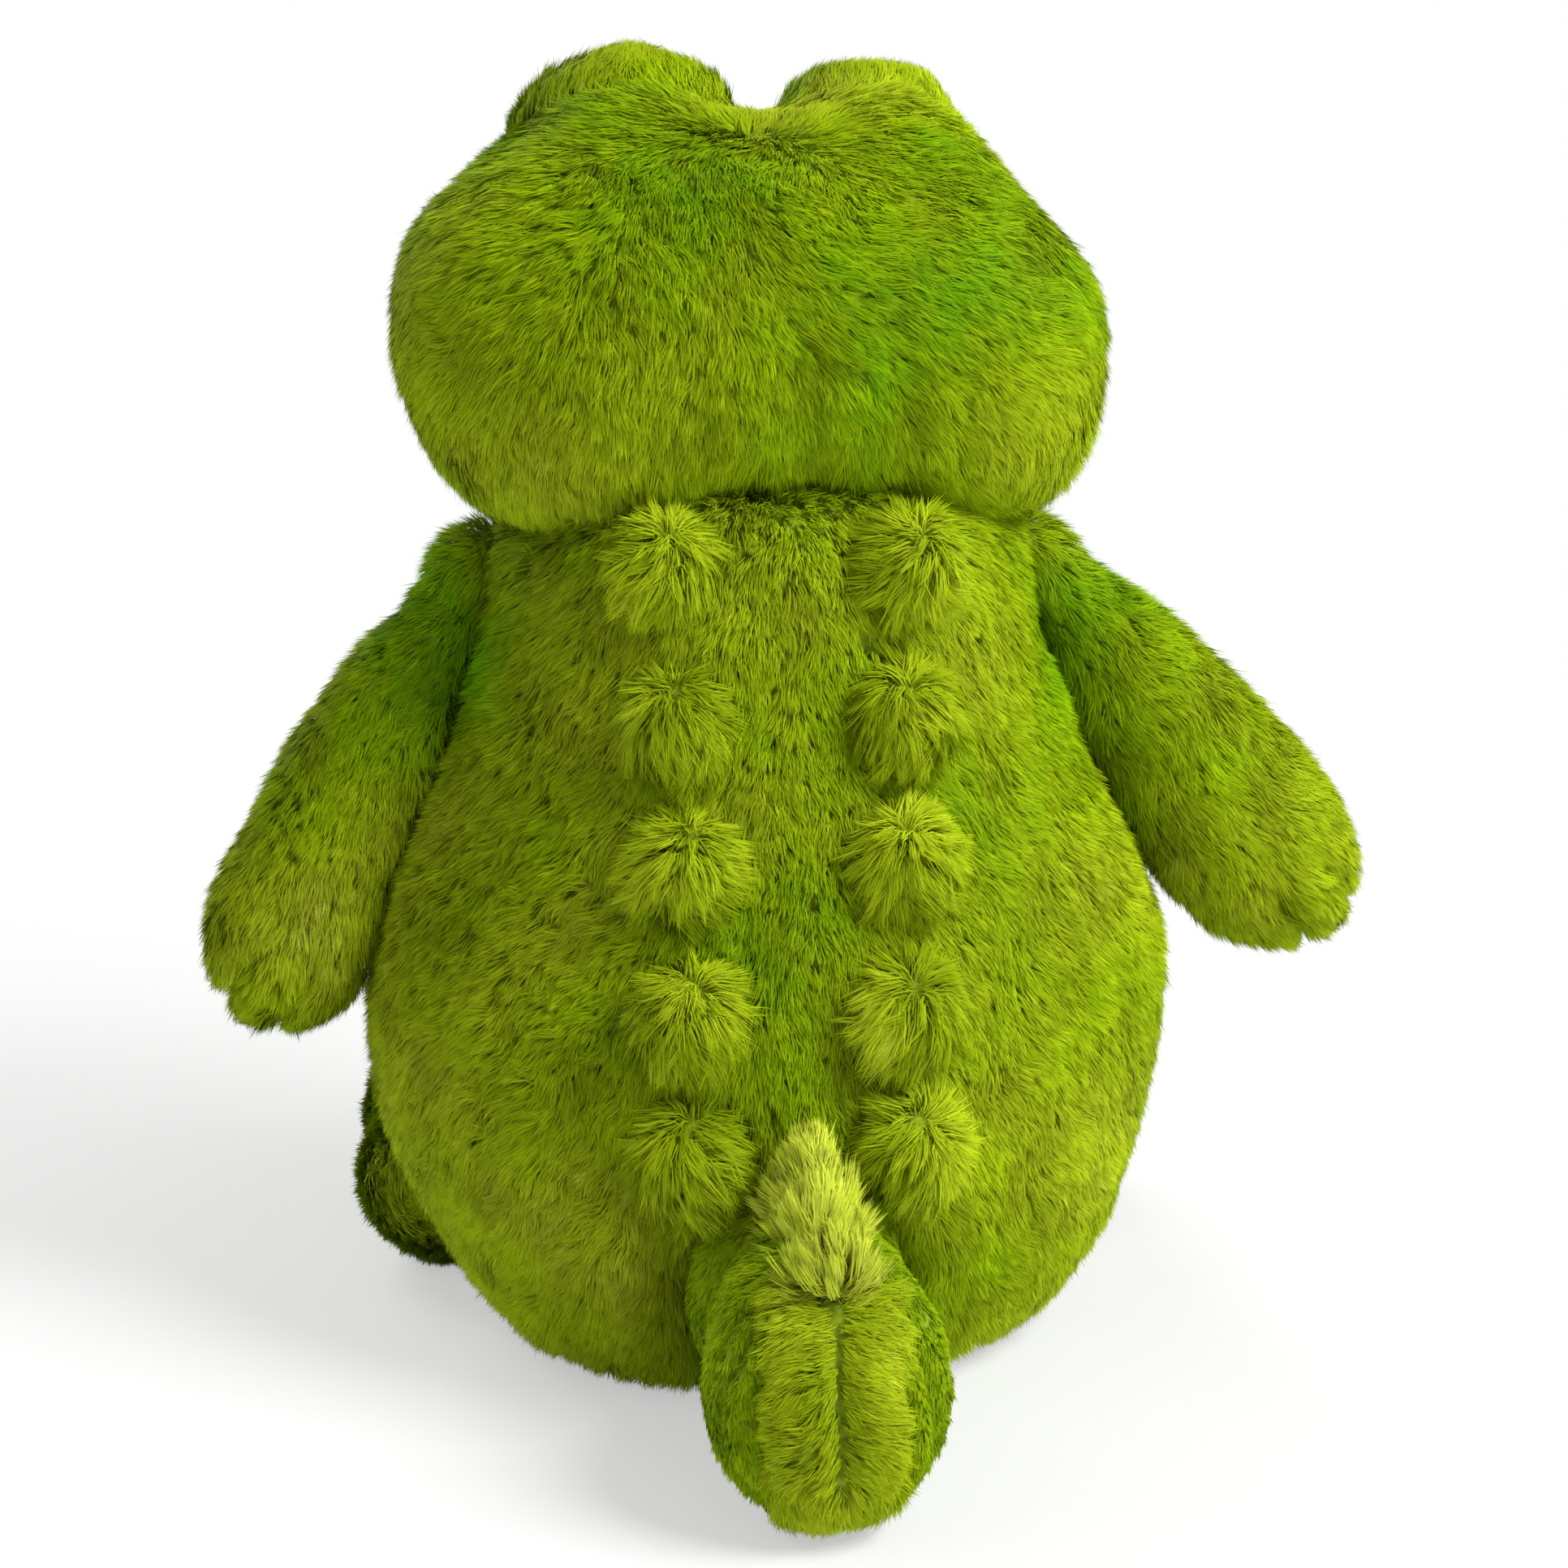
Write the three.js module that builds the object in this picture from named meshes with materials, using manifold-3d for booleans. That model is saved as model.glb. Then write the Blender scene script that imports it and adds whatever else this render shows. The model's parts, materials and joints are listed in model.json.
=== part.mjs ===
// A sitting plush crocodile: sewn, stuffed pieces around a trunk that is weighted with pellets.
// Millimetres, +Z up. The toy faces -Y, its left is +X, and the origin is the middle of its flat seat.

import * as THREE from 'three';
import { mergeVertices } from 'three/addons/utils/BufferGeometryUtils.js';
import Module from 'manifold-3d';

// Sewing
const COVER = 5; // plush cover, backing and pile together
const DOME_COVER = 4; // the same plush, drawn tighter over the small eye domes
const SEAM_GAP = 0.4; // between pieces that are sewn or laid against each other
const FLOOR_GAP = 0.5; // under the feet and the tail, so that the seat carries the toy
const FILL_GAP = 0.4; // between a cover and what fills it

// Trunk: a pear that stands on a flat seat, with straight sloping shoulders
const SEAT_RADIUS = 66;
const BELLY_RADIUS = 119;
const BELLY_HEIGHT = 96;
const SHOULDER_HEIGHT = 150; // where the belly's curve runs out into the straight shoulders
const NECK_RADIUS = 69;
const NECK_HEIGHT = 254;
const NECK_TILT = 14; // degrees: the neck seam is higher at the back
const NECK_ALLOWANCE = 10; // of the form above the seam that cuts it
const TRUNK_DEPTH = 101; // half-depth at the belly
const POUCH_WIDTH = 46; // half-width of the pellet pouch
const POUCH_DEPTH = 34;
const POUCH_HEIGHT = 34;

// Belly panel, let into the front of the trunk's cover
const PANEL_WIDTH = 58; // half-width
const PANEL_REACH = 72; // half-height
const PANEL_HEIGHT = 150; // of its middle
const PANEL_THICKNESS = 2.5;

// Head: a wide puffed pillow with two eye domes and a snout
const HEAD_WIDTH = 104; // half-width
const HEAD_DEPTH = 76; // half-depth
const HEAD_RISE = 61; // of its widest section, above the middle of the neck seam
const HEAD_TOP = 55; // above the widest section
const HEAD_BOTTOM = 80; // below it, before the neck seam cuts it
const PUFF = 2.4; // power of the puffed outline: 2 is an ellipse, more is squarer
const DOME_SPREAD = 40; // from the middle to each dome's centre
const DOME_FORWARD = 37;
const DOME_LIFT = 34; // of each dome's centre, above the head's widest section
const DOME_WIDTH = 36; // half-width
const DOME_DEPTH = 31; // half-depth
const DOME_RISE = 37; // half-height
const SNOUT_WIDTH = 66; // half-width
const SNOUT_LENGTH = 66; // half-length
const SNOUT_RISE = 31; // half-height
const SNOUT_FORWARD = 66;
const SNOUT_DROP = 22; // of its centre, below the head's widest section
const NOSTRIL_RADIUS = 8;
const NOSTRIL_SPREAD = 21;
const NOSTRIL_SETBACK = 17; // behind the snout's tip

// Safety eyes: a dome on a stem that goes through the cover, held by a washer inside
const EYE_RADIUS = 10;
const EYE_BULGE = 6.5;
const EYE_TURN = 20; // degrees outward
const EYE_LIFT = 28; // degrees upward
const STEM_RADIUS = 2.4;
const STEM_LENGTH = 11;
const WASHER_RADIUS = 7.5;
const WASHER_DEPTH = 3.5;

// Arms: they hang from the shoulders against the sloping sides
const ARM_DROP = 29; // of the shoulder's centre, below the middle of the neck seam
const ARM_SETBACK = -6; // of the shoulder's centre, along Y
const ARM_STANDOFF = 10; // from the arm's centre line to the flat seam on the trunk
const ARM_ROOT = 15;
const ARM_ROOT_DOME = 21; // how far the rounded root rises above the shoulder's centre
const ARM_FULL_AT = 46; // where the arm has nearly reached its full width, down the arm
const HAND_RADIUS = 26.5;
const HAND_AT = 104; // where the hand is widest, down the arm
const HAND_END = 40; // from there to the fingertips
const ARM_FLATNESS = 0.84; // depth of the arm over its width
const LEFT_ARM_ANGLE = 27.5; // degrees out from straight down
const RIGHT_ARM_ANGLE = 39.5;

// Legs: a ball set into the trunk, a waist at the seam and a fat foot
const HIP_INSET = 33; // from the belly's side to the hip's centre
const HIP_PROUD = 9.5; // the ball's centre, in front of the trunk's surface
const HIP_RADIUS = 28;
const HIP_WAIST = 40; // degrees past the ball's equator, where the waist begins
const LEG_SPLAY = 4; // degrees outward
const FOOT_RADIUS = 29.5;
const FOOT_AT = 48; // where the foot is widest, from the ball's centre
const FOOT_END = 26; // from there to the sole

// Tail: a ball set into the back of the trunk, a waist at the seam and a blunt end
const TAIL_INSET = 4; // the ball's centre, behind the trunk's surface
const TAIL_BALL = 34;
const TAIL_WAIST = 36; // degrees past the ball's equator
const TAIL_RADIUS = 37;
const TAIL_FULL_AT = 66; // where the tail reaches its full radius
const TAIL_STRAIGHT = 4; // how long it keeps that radius
const TAIL_END = 28; // length of its blunt end
const TAIL_TALLNESS = 1.06; // height of the tail over its width

// Limb ends: the open mouth of each cover where it is sewn into the trunk
const MOUTH_SHARE = 0.8; // of the ball's radius, behind its centre
const WAIST_PULL = 6; // how far the waist's curve is drawn along the ball

// Fingers and toes: stitched grooves that divide a rounded end into three
const GROOVE_RADIUS = 3.2;
const GROOVE_SPREAD = 8.5;
const GROOVE_REACH = 53; // to each side of the limb's middle, so that it cuts right across

// Spikes: two rows of soft tufts down the back, and a crest on the tail
const SPIKE_RADIUS = 16;
const SPIKE_HEIGHT = 15;
const SPIKE_ROOT = 7; // below the surface that the spike is sewn to
const SPIKE_SPREAD = 31;
const SPIKE_DROP = 3; // of the first pair, below the middle of the neck seam
const SPIKE_TAIL_RISE = 12; // of the last pair, above the tail's ridge
const SPIKE_COUNT = 5; // in each row
const SPIKE_WAIST = 0.85; // how full the spike stays towards its tip
const SPIKE_SHOULDER = 0.6; // how high that fullness reaches
const CREST_RADIUS = 12;
const CREST_HEIGHT = 24; // of the first tuft, next to the trunk
const CREST_END_HEIGHT = 13; // of the last one
const CREST_STARTS_AT = 28; // along the tail
const CREST_CLEAR = 0.6; // between one tuft and the next
const CREST_COUNT = 3;

// Facets
const FINE = 28; // around the trunk and head
const MIDDLE = 16; // around the limbs, tail and snout
const COARSE = 12; // around fillings and the inside of covers
const SMALL = 8; // around spikes and small pieces
const TRUNK_ARC = { fine: 4, coarse: 3 }; // points along each curve of a profile
const LIMB_ARC = { fine: 3, coarse: 2 };
const SPIKE_ARC = 4;
const POUCH_ARC = 2;
const MEASURING_ARC = 24; // where a place is read from the profile
const MERGE_DISTANCE = 1e-4;
const CUTTER_SIDE = 700; // cube that stands for a half-space

const wasm = await Module();
wasm.setup();

const PLUSH = new THREE.MeshStandardMaterial({ color: 0x7b9a1c, roughness: 0.95 });
const PALE_PLUSH = new THREE.MeshStandardMaterial({ color: 0xa3b94a, roughness: 0.95 });
const BELLY_PLUSH = new THREE.MeshStandardMaterial({ color: 0xc9cf86, roughness: 0.95 });
const FIBRE = new THREE.MeshStandardMaterial({ color: 0xf2f0ea, roughness: 1 });
const POUCH_CLOTH = new THREE.MeshStandardMaterial({ color: 0xd8cfbc, roughness: 0.9 });
const EYE_PLASTIC = new THREE.MeshStandardMaterial({ color: 0x0b0a0a, roughness: 0.12 });
const WASHER_PLASTIC = new THREE.MeshStandardMaterial({ color: 0xe9e9e6, roughness: 0.5 });

const radians = THREE.MathUtils.degToRad;
const vector = (x, y, z) => new THREE.Vector3(x, y, z);

// Geometry and solids

function toSolid(geometry) {
  const bare = new THREE.BufferGeometry();
  bare.setAttribute('position', geometry.getAttribute('position'));
  bare.setIndex(geometry.index);
  const merged = mergeVertices(bare, MERGE_DISTANCE);
  const corners = merged.index.array;
  const triangles = [];
  for (let i = 0; i < corners.length; i += 3) {
    const [a, b, c] = corners.slice(i, i + 3);
    if (a !== b && b !== c && c !== a) triangles.push(a, b, c);
  }
  return new wasm.Manifold(
    new wasm.Mesh({
      numProp: 3,
      vertProperties: new Float32Array(merged.getAttribute('position').array),
      triVerts: new Uint32Array(triangles),
    }),
  );
}

function toMesh(name, solid, material) {
  const { vertProperties, triVerts } = solid.getMesh();
  const geometry = new THREE.BufferGeometry();
  geometry.setAttribute('position', new THREE.BufferAttribute(vertProperties, 3));
  geometry.setIndex(new THREE.BufferAttribute(triVerts, 1));
  geometry.computeVertexNormals();
  const mesh = new THREE.Mesh(geometry, material);
  mesh.name = name;
  return mesh;
}

const cut = (solid, cutters) => cutters.reduce((rest, cutter) => rest.subtract(cutter), solid);

// Everything on the side of a plane that its normal points to, from `gap` beyond the plane.
function halfSpace(point, normal, gap = 0) {
  const unit = normal.clone().normalize();
  const box = new THREE.BoxGeometry(CUTTER_SIDE, CUTTER_SIDE, CUTTER_SIDE);
  box.translate(0, 0, CUTTER_SIDE / 2 + gap);
  box.applyQuaternion(new THREE.Quaternion().setFromUnitVectors(vector(0, 0, 1), unit));
  box.translate(point.x, point.y, point.z);
  return toSolid(box);
}

// A profile moved outward by `grow`, or inward where it is negative. Its ends stay on the axis.
function offsetProfile(points, grow) {
  const edgeNormal = (a, b) => new THREE.Vector2(b.y - a.y, a.x - b.x).normalize();
  return points.map((point, i) => {
    const before = i > 0 ? edgeNormal(points[i - 1], point) : null;
    const after = i < points.length - 1 ? edgeNormal(point, points[i + 1]) : null;
    const edge = before ?? after;
    const normal = edge.clone().add(after ?? before).normalize();
    const moved = point.clone().addScaledVector(normal, grow / normal.dot(edge));
    const onAxis = !before || !after;
    return new THREE.Vector2(onAxis ? 0 : Math.max(moved.x, 0), moved.y);
  });
}

// The path's points without repeats, so that every edge of a profile has a direction.
function profileOf(path, divisions) {
  const points = path.getPoints(divisions);
  return points.filter((point, i) => i === 0 || point.distanceTo(points[i - 1]) > MERGE_DISTANCE);
}

// A profile of (radius, distance along the axis) turned about +Z.
function turned(profile, segments) {
  return new THREE.LatheGeometry(profile, segments).rotateX(Math.PI / 2);
}

// An ellipsoid whose outline is puffed towards a box by a power above 2.
function puffed(half, power, segments, grow) {
  const sphere = new THREE.SphereGeometry(1, segments, segments / 2).rotateX(Math.PI / 2);
  const at = sphere.getAttribute('position');
  for (let i = 0; i < at.count; i += 1) {
    const [x, y, z] = [at.getX(i), at.getY(i), at.getZ(i)];
    const sum = Math.abs(x) ** power + Math.abs(y) ** power + Math.abs(z) ** power;
    const reach = sum ** (-1 / power);
    const rise = z > 0 ? half.up : half.down;
    at.setXYZ(i, x * reach * (half.x + grow), y * reach * (half.y + grow), z * reach * (rise + grow));
  }
  return sphere;
}

function rod(radius, from, to, segments = SMALL) {
  const axis = to.clone().sub(from);
  const cylinder = new THREE.CylinderGeometry(radius, radius, axis.length(), segments);
  cylinder.applyQuaternion(
    new THREE.Quaternion().setFromUnitVectors(vector(0, 1, 0), axis.clone().normalize()),
  );
  const middle = from.clone().lerp(to, 0.5);
  return toSolid(cylinder.translate(middle.x, middle.y, middle.z));
}

function ball(radius, centre, segments = MIDDLE, tallness = 1) {
  const sphere = new THREE.SphereGeometry(radius, segments, segments / 2).rotateX(Math.PI / 2);
  sphere.scale(1, 1, tallness);
  return toSolid(sphere.translate(centre.x, centre.y, centre.z));
}

// A sewn cover and the filling inside it. `form` gives the solid, grown by its first argument.
function sewn(form, wall, segments, cutters) {
  const hollow = form(-wall, COARSE);
  return {
    cover: cut(form(0, segments).subtract(hollow), cutters),
    filling: cut(form(-wall - FILL_GAP, COARSE), cutters),
  };
}

// Trunk

const neckPoint = vector(0, 0, NECK_HEIGHT);
const neckNormal = vector(0, -Math.sin(radians(NECK_TILT)), Math.cos(radians(NECK_TILT)));
const curveKnee = (BELLY_HEIGHT + SHOULDER_HEIGHT) / 2;
const shoulderSlope = (BELLY_RADIUS - NECK_RADIUS) / (NECK_HEIGHT - curveKnee);
const shoulderRadius = (height) => NECK_RADIUS + shoulderSlope * (NECK_HEIGHT - height);
const trunkFlatness = TRUNK_DEPTH / BELLY_RADIUS;

function trunkProfile(divisions) {
  const top = NECK_HEIGHT + NECK_RADIUS * Math.tan(radians(NECK_TILT)) + NECK_ALLOWANCE;
  const path = new THREE.Path();
  path.moveTo(0, 0);
  path.lineTo(SEAT_RADIUS, 0);
  path.absellipse(SEAT_RADIUS, BELLY_HEIGHT, BELLY_RADIUS - SEAT_RADIUS, BELLY_HEIGHT, -Math.PI / 2, 0);
  path.quadraticCurveTo(BELLY_RADIUS, curveKnee, shoulderRadius(SHOULDER_HEIGHT), SHOULDER_HEIGHT);
  path.lineTo(shoulderRadius(top), top);
  path.lineTo(0, top);
  return profileOf(path, divisions);
}

function trunkForm(grow, segments) {
  const divisions = segments === FINE ? TRUNK_ARC.fine : TRUNK_ARC.coarse;
  const form = turned(offsetProfile(trunkProfile(divisions), grow), segments);
  return toSolid(form.scale(1, trunkFlatness, 1));
}

// The trunk's radius, across X, at a height between the seat and the neck.
function trunkRadius(height) {
  if (height >= SHOULDER_HEIGHT) return shoulderRadius(height);
  const points = trunkProfile(MEASURING_ARC);
  const next = points.findIndex((point) => point.y > height);
  const [low, high] = [points[next - 1], points[next]];
  return THREE.MathUtils.mapLinear(height, low.y, high.y, low.x, high.x);
}

// How far the trunk's surface stands from the XZ plane at (x, height).
function trunkReach(x, height) {
  return trunkFlatness * Math.sqrt(trunkRadius(height) ** 2 - x ** 2);
}

// The outward normal of the trunk's back at (x, height), from the slopes of its surface.
function backNormal(x, height) {
  const step = 1;
  const across = (trunkReach(x + step, height) - trunkReach(x - step, height)) / (2 * step);
  const upward = (trunkReach(x, height + step) - trunkReach(x, height - step)) / (2 * step);
  return vector(-across, 1, -upward).normalize();
}

// A limb that lies on the floor is as high as the larger of its root and its end needs.
const hipHeight = Math.max(HIP_RADIUS, FOOT_RADIUS) + FLOOR_GAP;
const tailHeight = Math.max(TAIL_BALL, TAIL_RADIUS) * TAIL_TALLNESS + FLOOR_GAP;
const hipSpread = BELLY_RADIUS - HIP_INSET;
const hipCentre = (side) =>
  vector(side * hipSpread, -trunkReach(hipSpread, hipHeight) - HIP_PROUD, hipHeight);
const tailCentre = vector(0, trunkReach(0, tailHeight) - TAIL_INSET, tailHeight);

// Round dimples for the legs' and the tail's balls, `clear` wider than the balls. A facet lies
// nearer the centre than its corners, so the corners are moved out until every facet is clear.
function dimples(clear) {
  const facetReach = Math.cos(Math.PI / MIDDLE) ** 2;
  return [
    ball((HIP_RADIUS + clear) / facetReach, hipCentre(1)),
    ball((HIP_RADIUS + clear) / facetReach, hipCentre(-1)),
    ball((TAIL_BALL + clear) / facetReach, tailCentre, MIDDLE, TAIL_TALLNESS),
  ];
}

// The belly panel's outline, run through the front of the trunk.
function panelColumn(grow) {
  const column = new THREE.CylinderGeometry(1, 1, CUTTER_SIDE / 2, FINE);
  column.scale(PANEL_WIDTH + grow, 1, PANEL_REACH + grow);
  return toSolid(column.translate(0, -CUTTER_SIDE / 4, PANEL_HEIGHT));
}

function pouchForm(grow) {
  const path = new THREE.Path();
  const floor = COVER + FILL_GAP;
  const crown = POUCH_HEIGHT / 2;
  path.moveTo(0, floor);
  path.lineTo(1, floor);
  path.lineTo(1, floor + POUCH_HEIGHT - crown);
  path.absellipse(0, floor + POUCH_HEIGHT - crown, 1, crown, 0, Math.PI / 2);
  const form = turned(profileOf(path, POUCH_ARC), COARSE);
  form.scale(POUCH_WIDTH + grow, POUCH_DEPTH + grow, 1);
  return toSolid(form);
}

function makeTrunk() {
  const neck = halfSpace(neckPoint, neckNormal);
  const whole = trunkForm(0, FINE);
  const hollow = cut(trunkForm(-COVER, COARSE), dimples(SEAM_GAP + COVER));
  const filling = cut(trunkForm(-COVER - FILL_GAP, COARSE), dimples(SEAM_GAP + COVER + FILL_GAP));
  const skin = whole.subtract(trunkForm(-PANEL_THICKNESS, FINE));
  const recess = panelColumn(SEAM_GAP).subtract(trunkForm(-PANEL_THICKNESS - SEAM_GAP, FINE));
  const cover = cut(whole, [hollow, recess, neck, ...dimples(SEAM_GAP)]);
  const panel = cut(skin.intersect(panelColumn(0)), [neck, ...dimples(SEAM_GAP)]);
  const pouch = cut(pouchForm(0), dimples(SEAM_GAP + COVER + FILL_GAP));
  const pocket = pouchForm(FILL_GAP).add(pouchForm(FILL_GAP).translate(0, 0, FILL_GAP));
  const group = new THREE.Group();
  group.add(
    toMesh('trunk_cover', cover, PLUSH),
    toMesh('trunk_stuffing', cut(filling, [pocket, neck]), FIBRE),
    toMesh('pellet_pouch', pouch, POUCH_CLOTH),
    toMesh('belly_panel', panel, BELLY_PLUSH),
  );
  return group;
}

// Back spikes

function spikeProfile(radius, height) {
  const path = new THREE.Path();
  path.moveTo(0, -SPIKE_ROOT);
  path.lineTo(radius, -SPIKE_ROOT);
  path.quadraticCurveTo(radius * SPIKE_WAIST, height * SPIKE_SHOULDER, 0, height);
  return profileOf(path, SPIKE_ARC);
}

function spikeAt(point, normal, radius, height) {
  const spike = turned(spikeProfile(radius, height), SMALL);
  spike.applyQuaternion(new THREE.Quaternion().setFromUnitVectors(vector(0, 0, 1), normal));
  return toSolid(spike.translate(point.x, point.y, point.z));
}

function makeBackSpikes() {
  const group = new THREE.Group();
  const trunk = trunkForm(SEAM_GAP, FINE);
  const neck = halfSpace(neckPoint, neckNormal);
  const first = NECK_HEIGHT - SPIKE_DROP;
  const last = 2 * tailHeight + SPIKE_TAIL_RISE;
  for (const [word, side] of [['left', 1], ['right', -1]]) {
    for (let row = 0; row < SPIKE_COUNT; row += 1) {
      const x = side * SPIKE_SPREAD;
      const height = first + ((last - first) * row) / (SPIKE_COUNT - 1);
      const point = vector(x, trunkReach(x, height), height);
      const spike = spikeAt(point, backNormal(x, height), SPIKE_RADIUS, SPIKE_HEIGHT);
      const name = `back_spike_${word}_${row + 1}`;
      group.add(toMesh(name, cut(spike, [trunk, neck]), PALE_PLUSH));
    }
  }
  return group;
}

// Head

const headHeight = NECK_HEIGHT + HEAD_RISE;
const snoutHeight = headHeight - SNOUT_DROP;

function headForm(grow, segments) {
  const half = { x: HEAD_WIDTH, y: HEAD_DEPTH, up: HEAD_TOP, down: HEAD_BOTTOM };
  return toSolid(puffed(half, PUFF, segments, grow).translate(0, 0, headHeight));
}

function snoutForm(grow, segments) {
  const half = { x: SNOUT_WIDTH, y: SNOUT_LENGTH, up: SNOUT_RISE, down: SNOUT_RISE };
  const form = puffed(half, PUFF, segments, grow);
  return toSolid(form.translate(0, -SNOUT_FORWARD, snoutHeight));
}

const domeCentre = (side) => vector(side * DOME_SPREAD, -DOME_FORWARD, headHeight + DOME_LIFT);

function domeForm(side, grow, segments) {
  const half = { x: DOME_WIDTH, y: DOME_DEPTH, up: DOME_RISE, down: DOME_RISE };
  const centre = domeCentre(side);
  return toSolid(puffed(half, PUFF, segments, grow).translate(centre.x, centre.y, centre.z));
}

// The line that an eye looks along, and the point where it leaves the dome.
function eyeSight(side) {
  const [turn, lift] = [radians(EYE_TURN), radians(EYE_LIFT)];
  const ahead = vector(
    side * Math.sin(turn) * Math.cos(lift),
    -Math.cos(turn) * Math.cos(lift),
    Math.sin(lift),
  );
  const shares = ahead.clone().divide(vector(DOME_WIDTH, DOME_DEPTH, DOME_RISE)).toArray();
  const reach = shares.reduce((sum, share) => sum + Math.abs(share) ** PUFF, 0) ** (-1 / PUFF);
  return { ahead, point: domeCentre(side).addScaledVector(ahead, reach) };
}

function makeEye(word, side, head) {
  const { ahead, point } = eyeSight(side);
  const along = (distance) => point.clone().addScaledVector(ahead, distance);
  const inner = DOME_COVER + FILL_GAP;
  const stem = rod(STEM_RADIUS, along(-STEM_LENGTH), along(EYE_BULGE / 2));
  const bore = rod(STEM_RADIUS + FILL_GAP, along(-STEM_LENGTH - FILL_GAP), along(EYE_BULGE));
  const lens = new THREE.SphereGeometry(EYE_RADIUS, MIDDLE, MIDDLE / 2);
  lens.scale(1, EYE_BULGE / EYE_RADIUS, 1);
  lens.applyQuaternion(new THREE.Quaternion().setFromUnitVectors(vector(0, 1, 0), ahead));
  const domed = toSolid(lens.translate(point.x, point.y, point.z));
  const seats = [domeForm(side, SEAM_GAP, MIDDLE), headForm(SEAM_GAP, FINE)];
  const eye = cut(domed, seats).add(stem);
  const disc = rod(WASHER_RADIUS, along(-inner - WASHER_DEPTH), along(0), COARSE);
  const washer = disc.intersect(domeForm(side, -inner, COARSE)).subtract(bore);
  const pocket = rod(
    WASHER_RADIUS + FILL_GAP, along(-inner - WASHER_DEPTH - FILL_GAP), along(0), COARSE,
  );
  const form = (grow, segments) => domeForm(side, grow, segments);
  const dome = sewn(form, DOME_COVER, MIDDLE, [head, bore]);
  const group = new THREE.Group();
  group.add(
    toMesh(`${word}_eye_dome`, dome.cover, PLUSH),
    toMesh(`${word}_eye_dome_stuffing`, dome.filling.subtract(pocket), FIBRE),
    toMesh(`${word}_eye`, eye, EYE_PLASTIC),
    toMesh(`${word}_eye_washer`, washer.subtract(head), WASHER_PLASTIC),
  );
  return group;
}

function makeNostril(word, side) {
  const y = NOSTRIL_SETBACK - SNOUT_FORWARD - SNOUT_LENGTH;
  const sideShare = (NOSTRIL_SPREAD / SNOUT_WIDTH) ** PUFF;
  const lengthShare = ((y + SNOUT_FORWARD) / -SNOUT_LENGTH) ** PUFF;
  const rise = SNOUT_RISE * (1 - sideShare - lengthShare) ** (1 / PUFF);
  const centre = vector(side * NOSTRIL_SPREAD, y, snoutHeight + rise);
  const nostril = ball(NOSTRIL_RADIUS, centre, COARSE).subtract(snoutForm(SEAM_GAP, MIDDLE));
  return toMesh(`${word}_nostril`, nostril, PLUSH);
}

function makeHead() {
  const neck = halfSpace(neckPoint, neckNormal.clone().negate(), -SEAM_GAP);
  const head = sewn(headForm, COVER, FINE, [neck]);
  const around = headForm(SEAM_GAP, FINE);
  const snout = sewn(snoutForm, COVER, MIDDLE, [around]);
  const group = new THREE.Group();
  group.add(
    toMesh('head_cover', head.cover, PLUSH),
    toMesh('head_stuffing', head.filling, FIBRE),
    toMesh('snout_cover', snout.cover, PLUSH),
    toMesh('snout_stuffing', snout.filling, FIBRE),
  );
  for (const [word, side] of [['left', 1], ['right', -1]]) {
    group.add(makeEye(word, side, around), makeNostril(word, side));
  }
  return group;
}

// Arms

const armHeight = NECK_HEIGHT - ARM_DROP;

function armProfile() {
  const path = new THREE.Path();
  path.moveTo(0, -ARM_ROOT_DOME);
  path.absellipse(0, 0, ARM_ROOT, ARM_ROOT_DOME, -Math.PI / 2, 0);
  path.bezierCurveTo(HAND_RADIUS, ARM_FULL_AT, HAND_RADIUS, ARM_FULL_AT, HAND_RADIUS, HAND_AT);
  path.absellipse(0, HAND_AT, HAND_RADIUS, HAND_END, 0, Math.PI / 2);
  return path;
}

// In the arm's own frame the shoulder is at the origin and the hand is at -Z.
function armForm(grow, segments) {
  const profile = profileOf(armProfile(), segments === COARSE ? LIMB_ARC.coarse : LIMB_ARC.fine);
  const form = turned(offsetProfile(profile, grow), segments).rotateX(Math.PI);
  return toSolid(form.scale(1, ARM_FLATNESS, 1));
}

// Grooves across a rounded end: `tip` is its outermost point and `across` runs along each groove.
function grooves(tip, sideways, across) {
  return [-1, 1].map((side) => {
    const middle = tip.clone().addScaledVector(sideways, side * GROOVE_SPREAD);
    const from = middle.clone().addScaledVector(across, -GROOVE_REACH);
    return rod(GROOVE_RADIUS, from, middle.clone().addScaledVector(across, GROOVE_REACH));
  });
}

// How far along its axis the rounded end of a limb reaches at `aside` from the axis.
const endReach = (aside, radius, from, end) => from + end * Math.sqrt(1 - (aside / radius) ** 2);

function makeArm(word, side, angle) {
  const slope = Math.atan(shoulderSlope);
  const outward = vector(side * Math.cos(slope), 0, Math.sin(slope));
  const shoulder = vector(side * shoulderRadius(armHeight), ARM_SETBACK, armHeight);
  const turn = -side * radians(angle);
  const inward = outward.clone().negate().applyAxisAngle(vector(0, 1, 0), -turn);
  const seam = halfSpace(vector(0, 0, 0), inward, ARM_STANDOFF);
  const tip = vector(0, 0, -endReach(GROOVE_SPREAD, HAND_RADIUS, HAND_AT, HAND_END));
  const arm = sewn(armForm, COVER, MIDDLE, [seam]);
  const fingers = cut(arm.cover, grooves(tip, vector(1, 0, 0), vector(0, 1, 0)));
  const group = new THREE.Group();
  group.position.copy(shoulder).addScaledVector(outward, ARM_STANDOFF + SEAM_GAP);
  group.rotation.y = turn;
  group.add(
    toMesh(`${word}_arm_cover`, fingers, PLUSH),
    toMesh(`${word}_arm_stuffing`, arm.filling, FIBRE),
  );
  return group;
}

// Legs and tail

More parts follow.
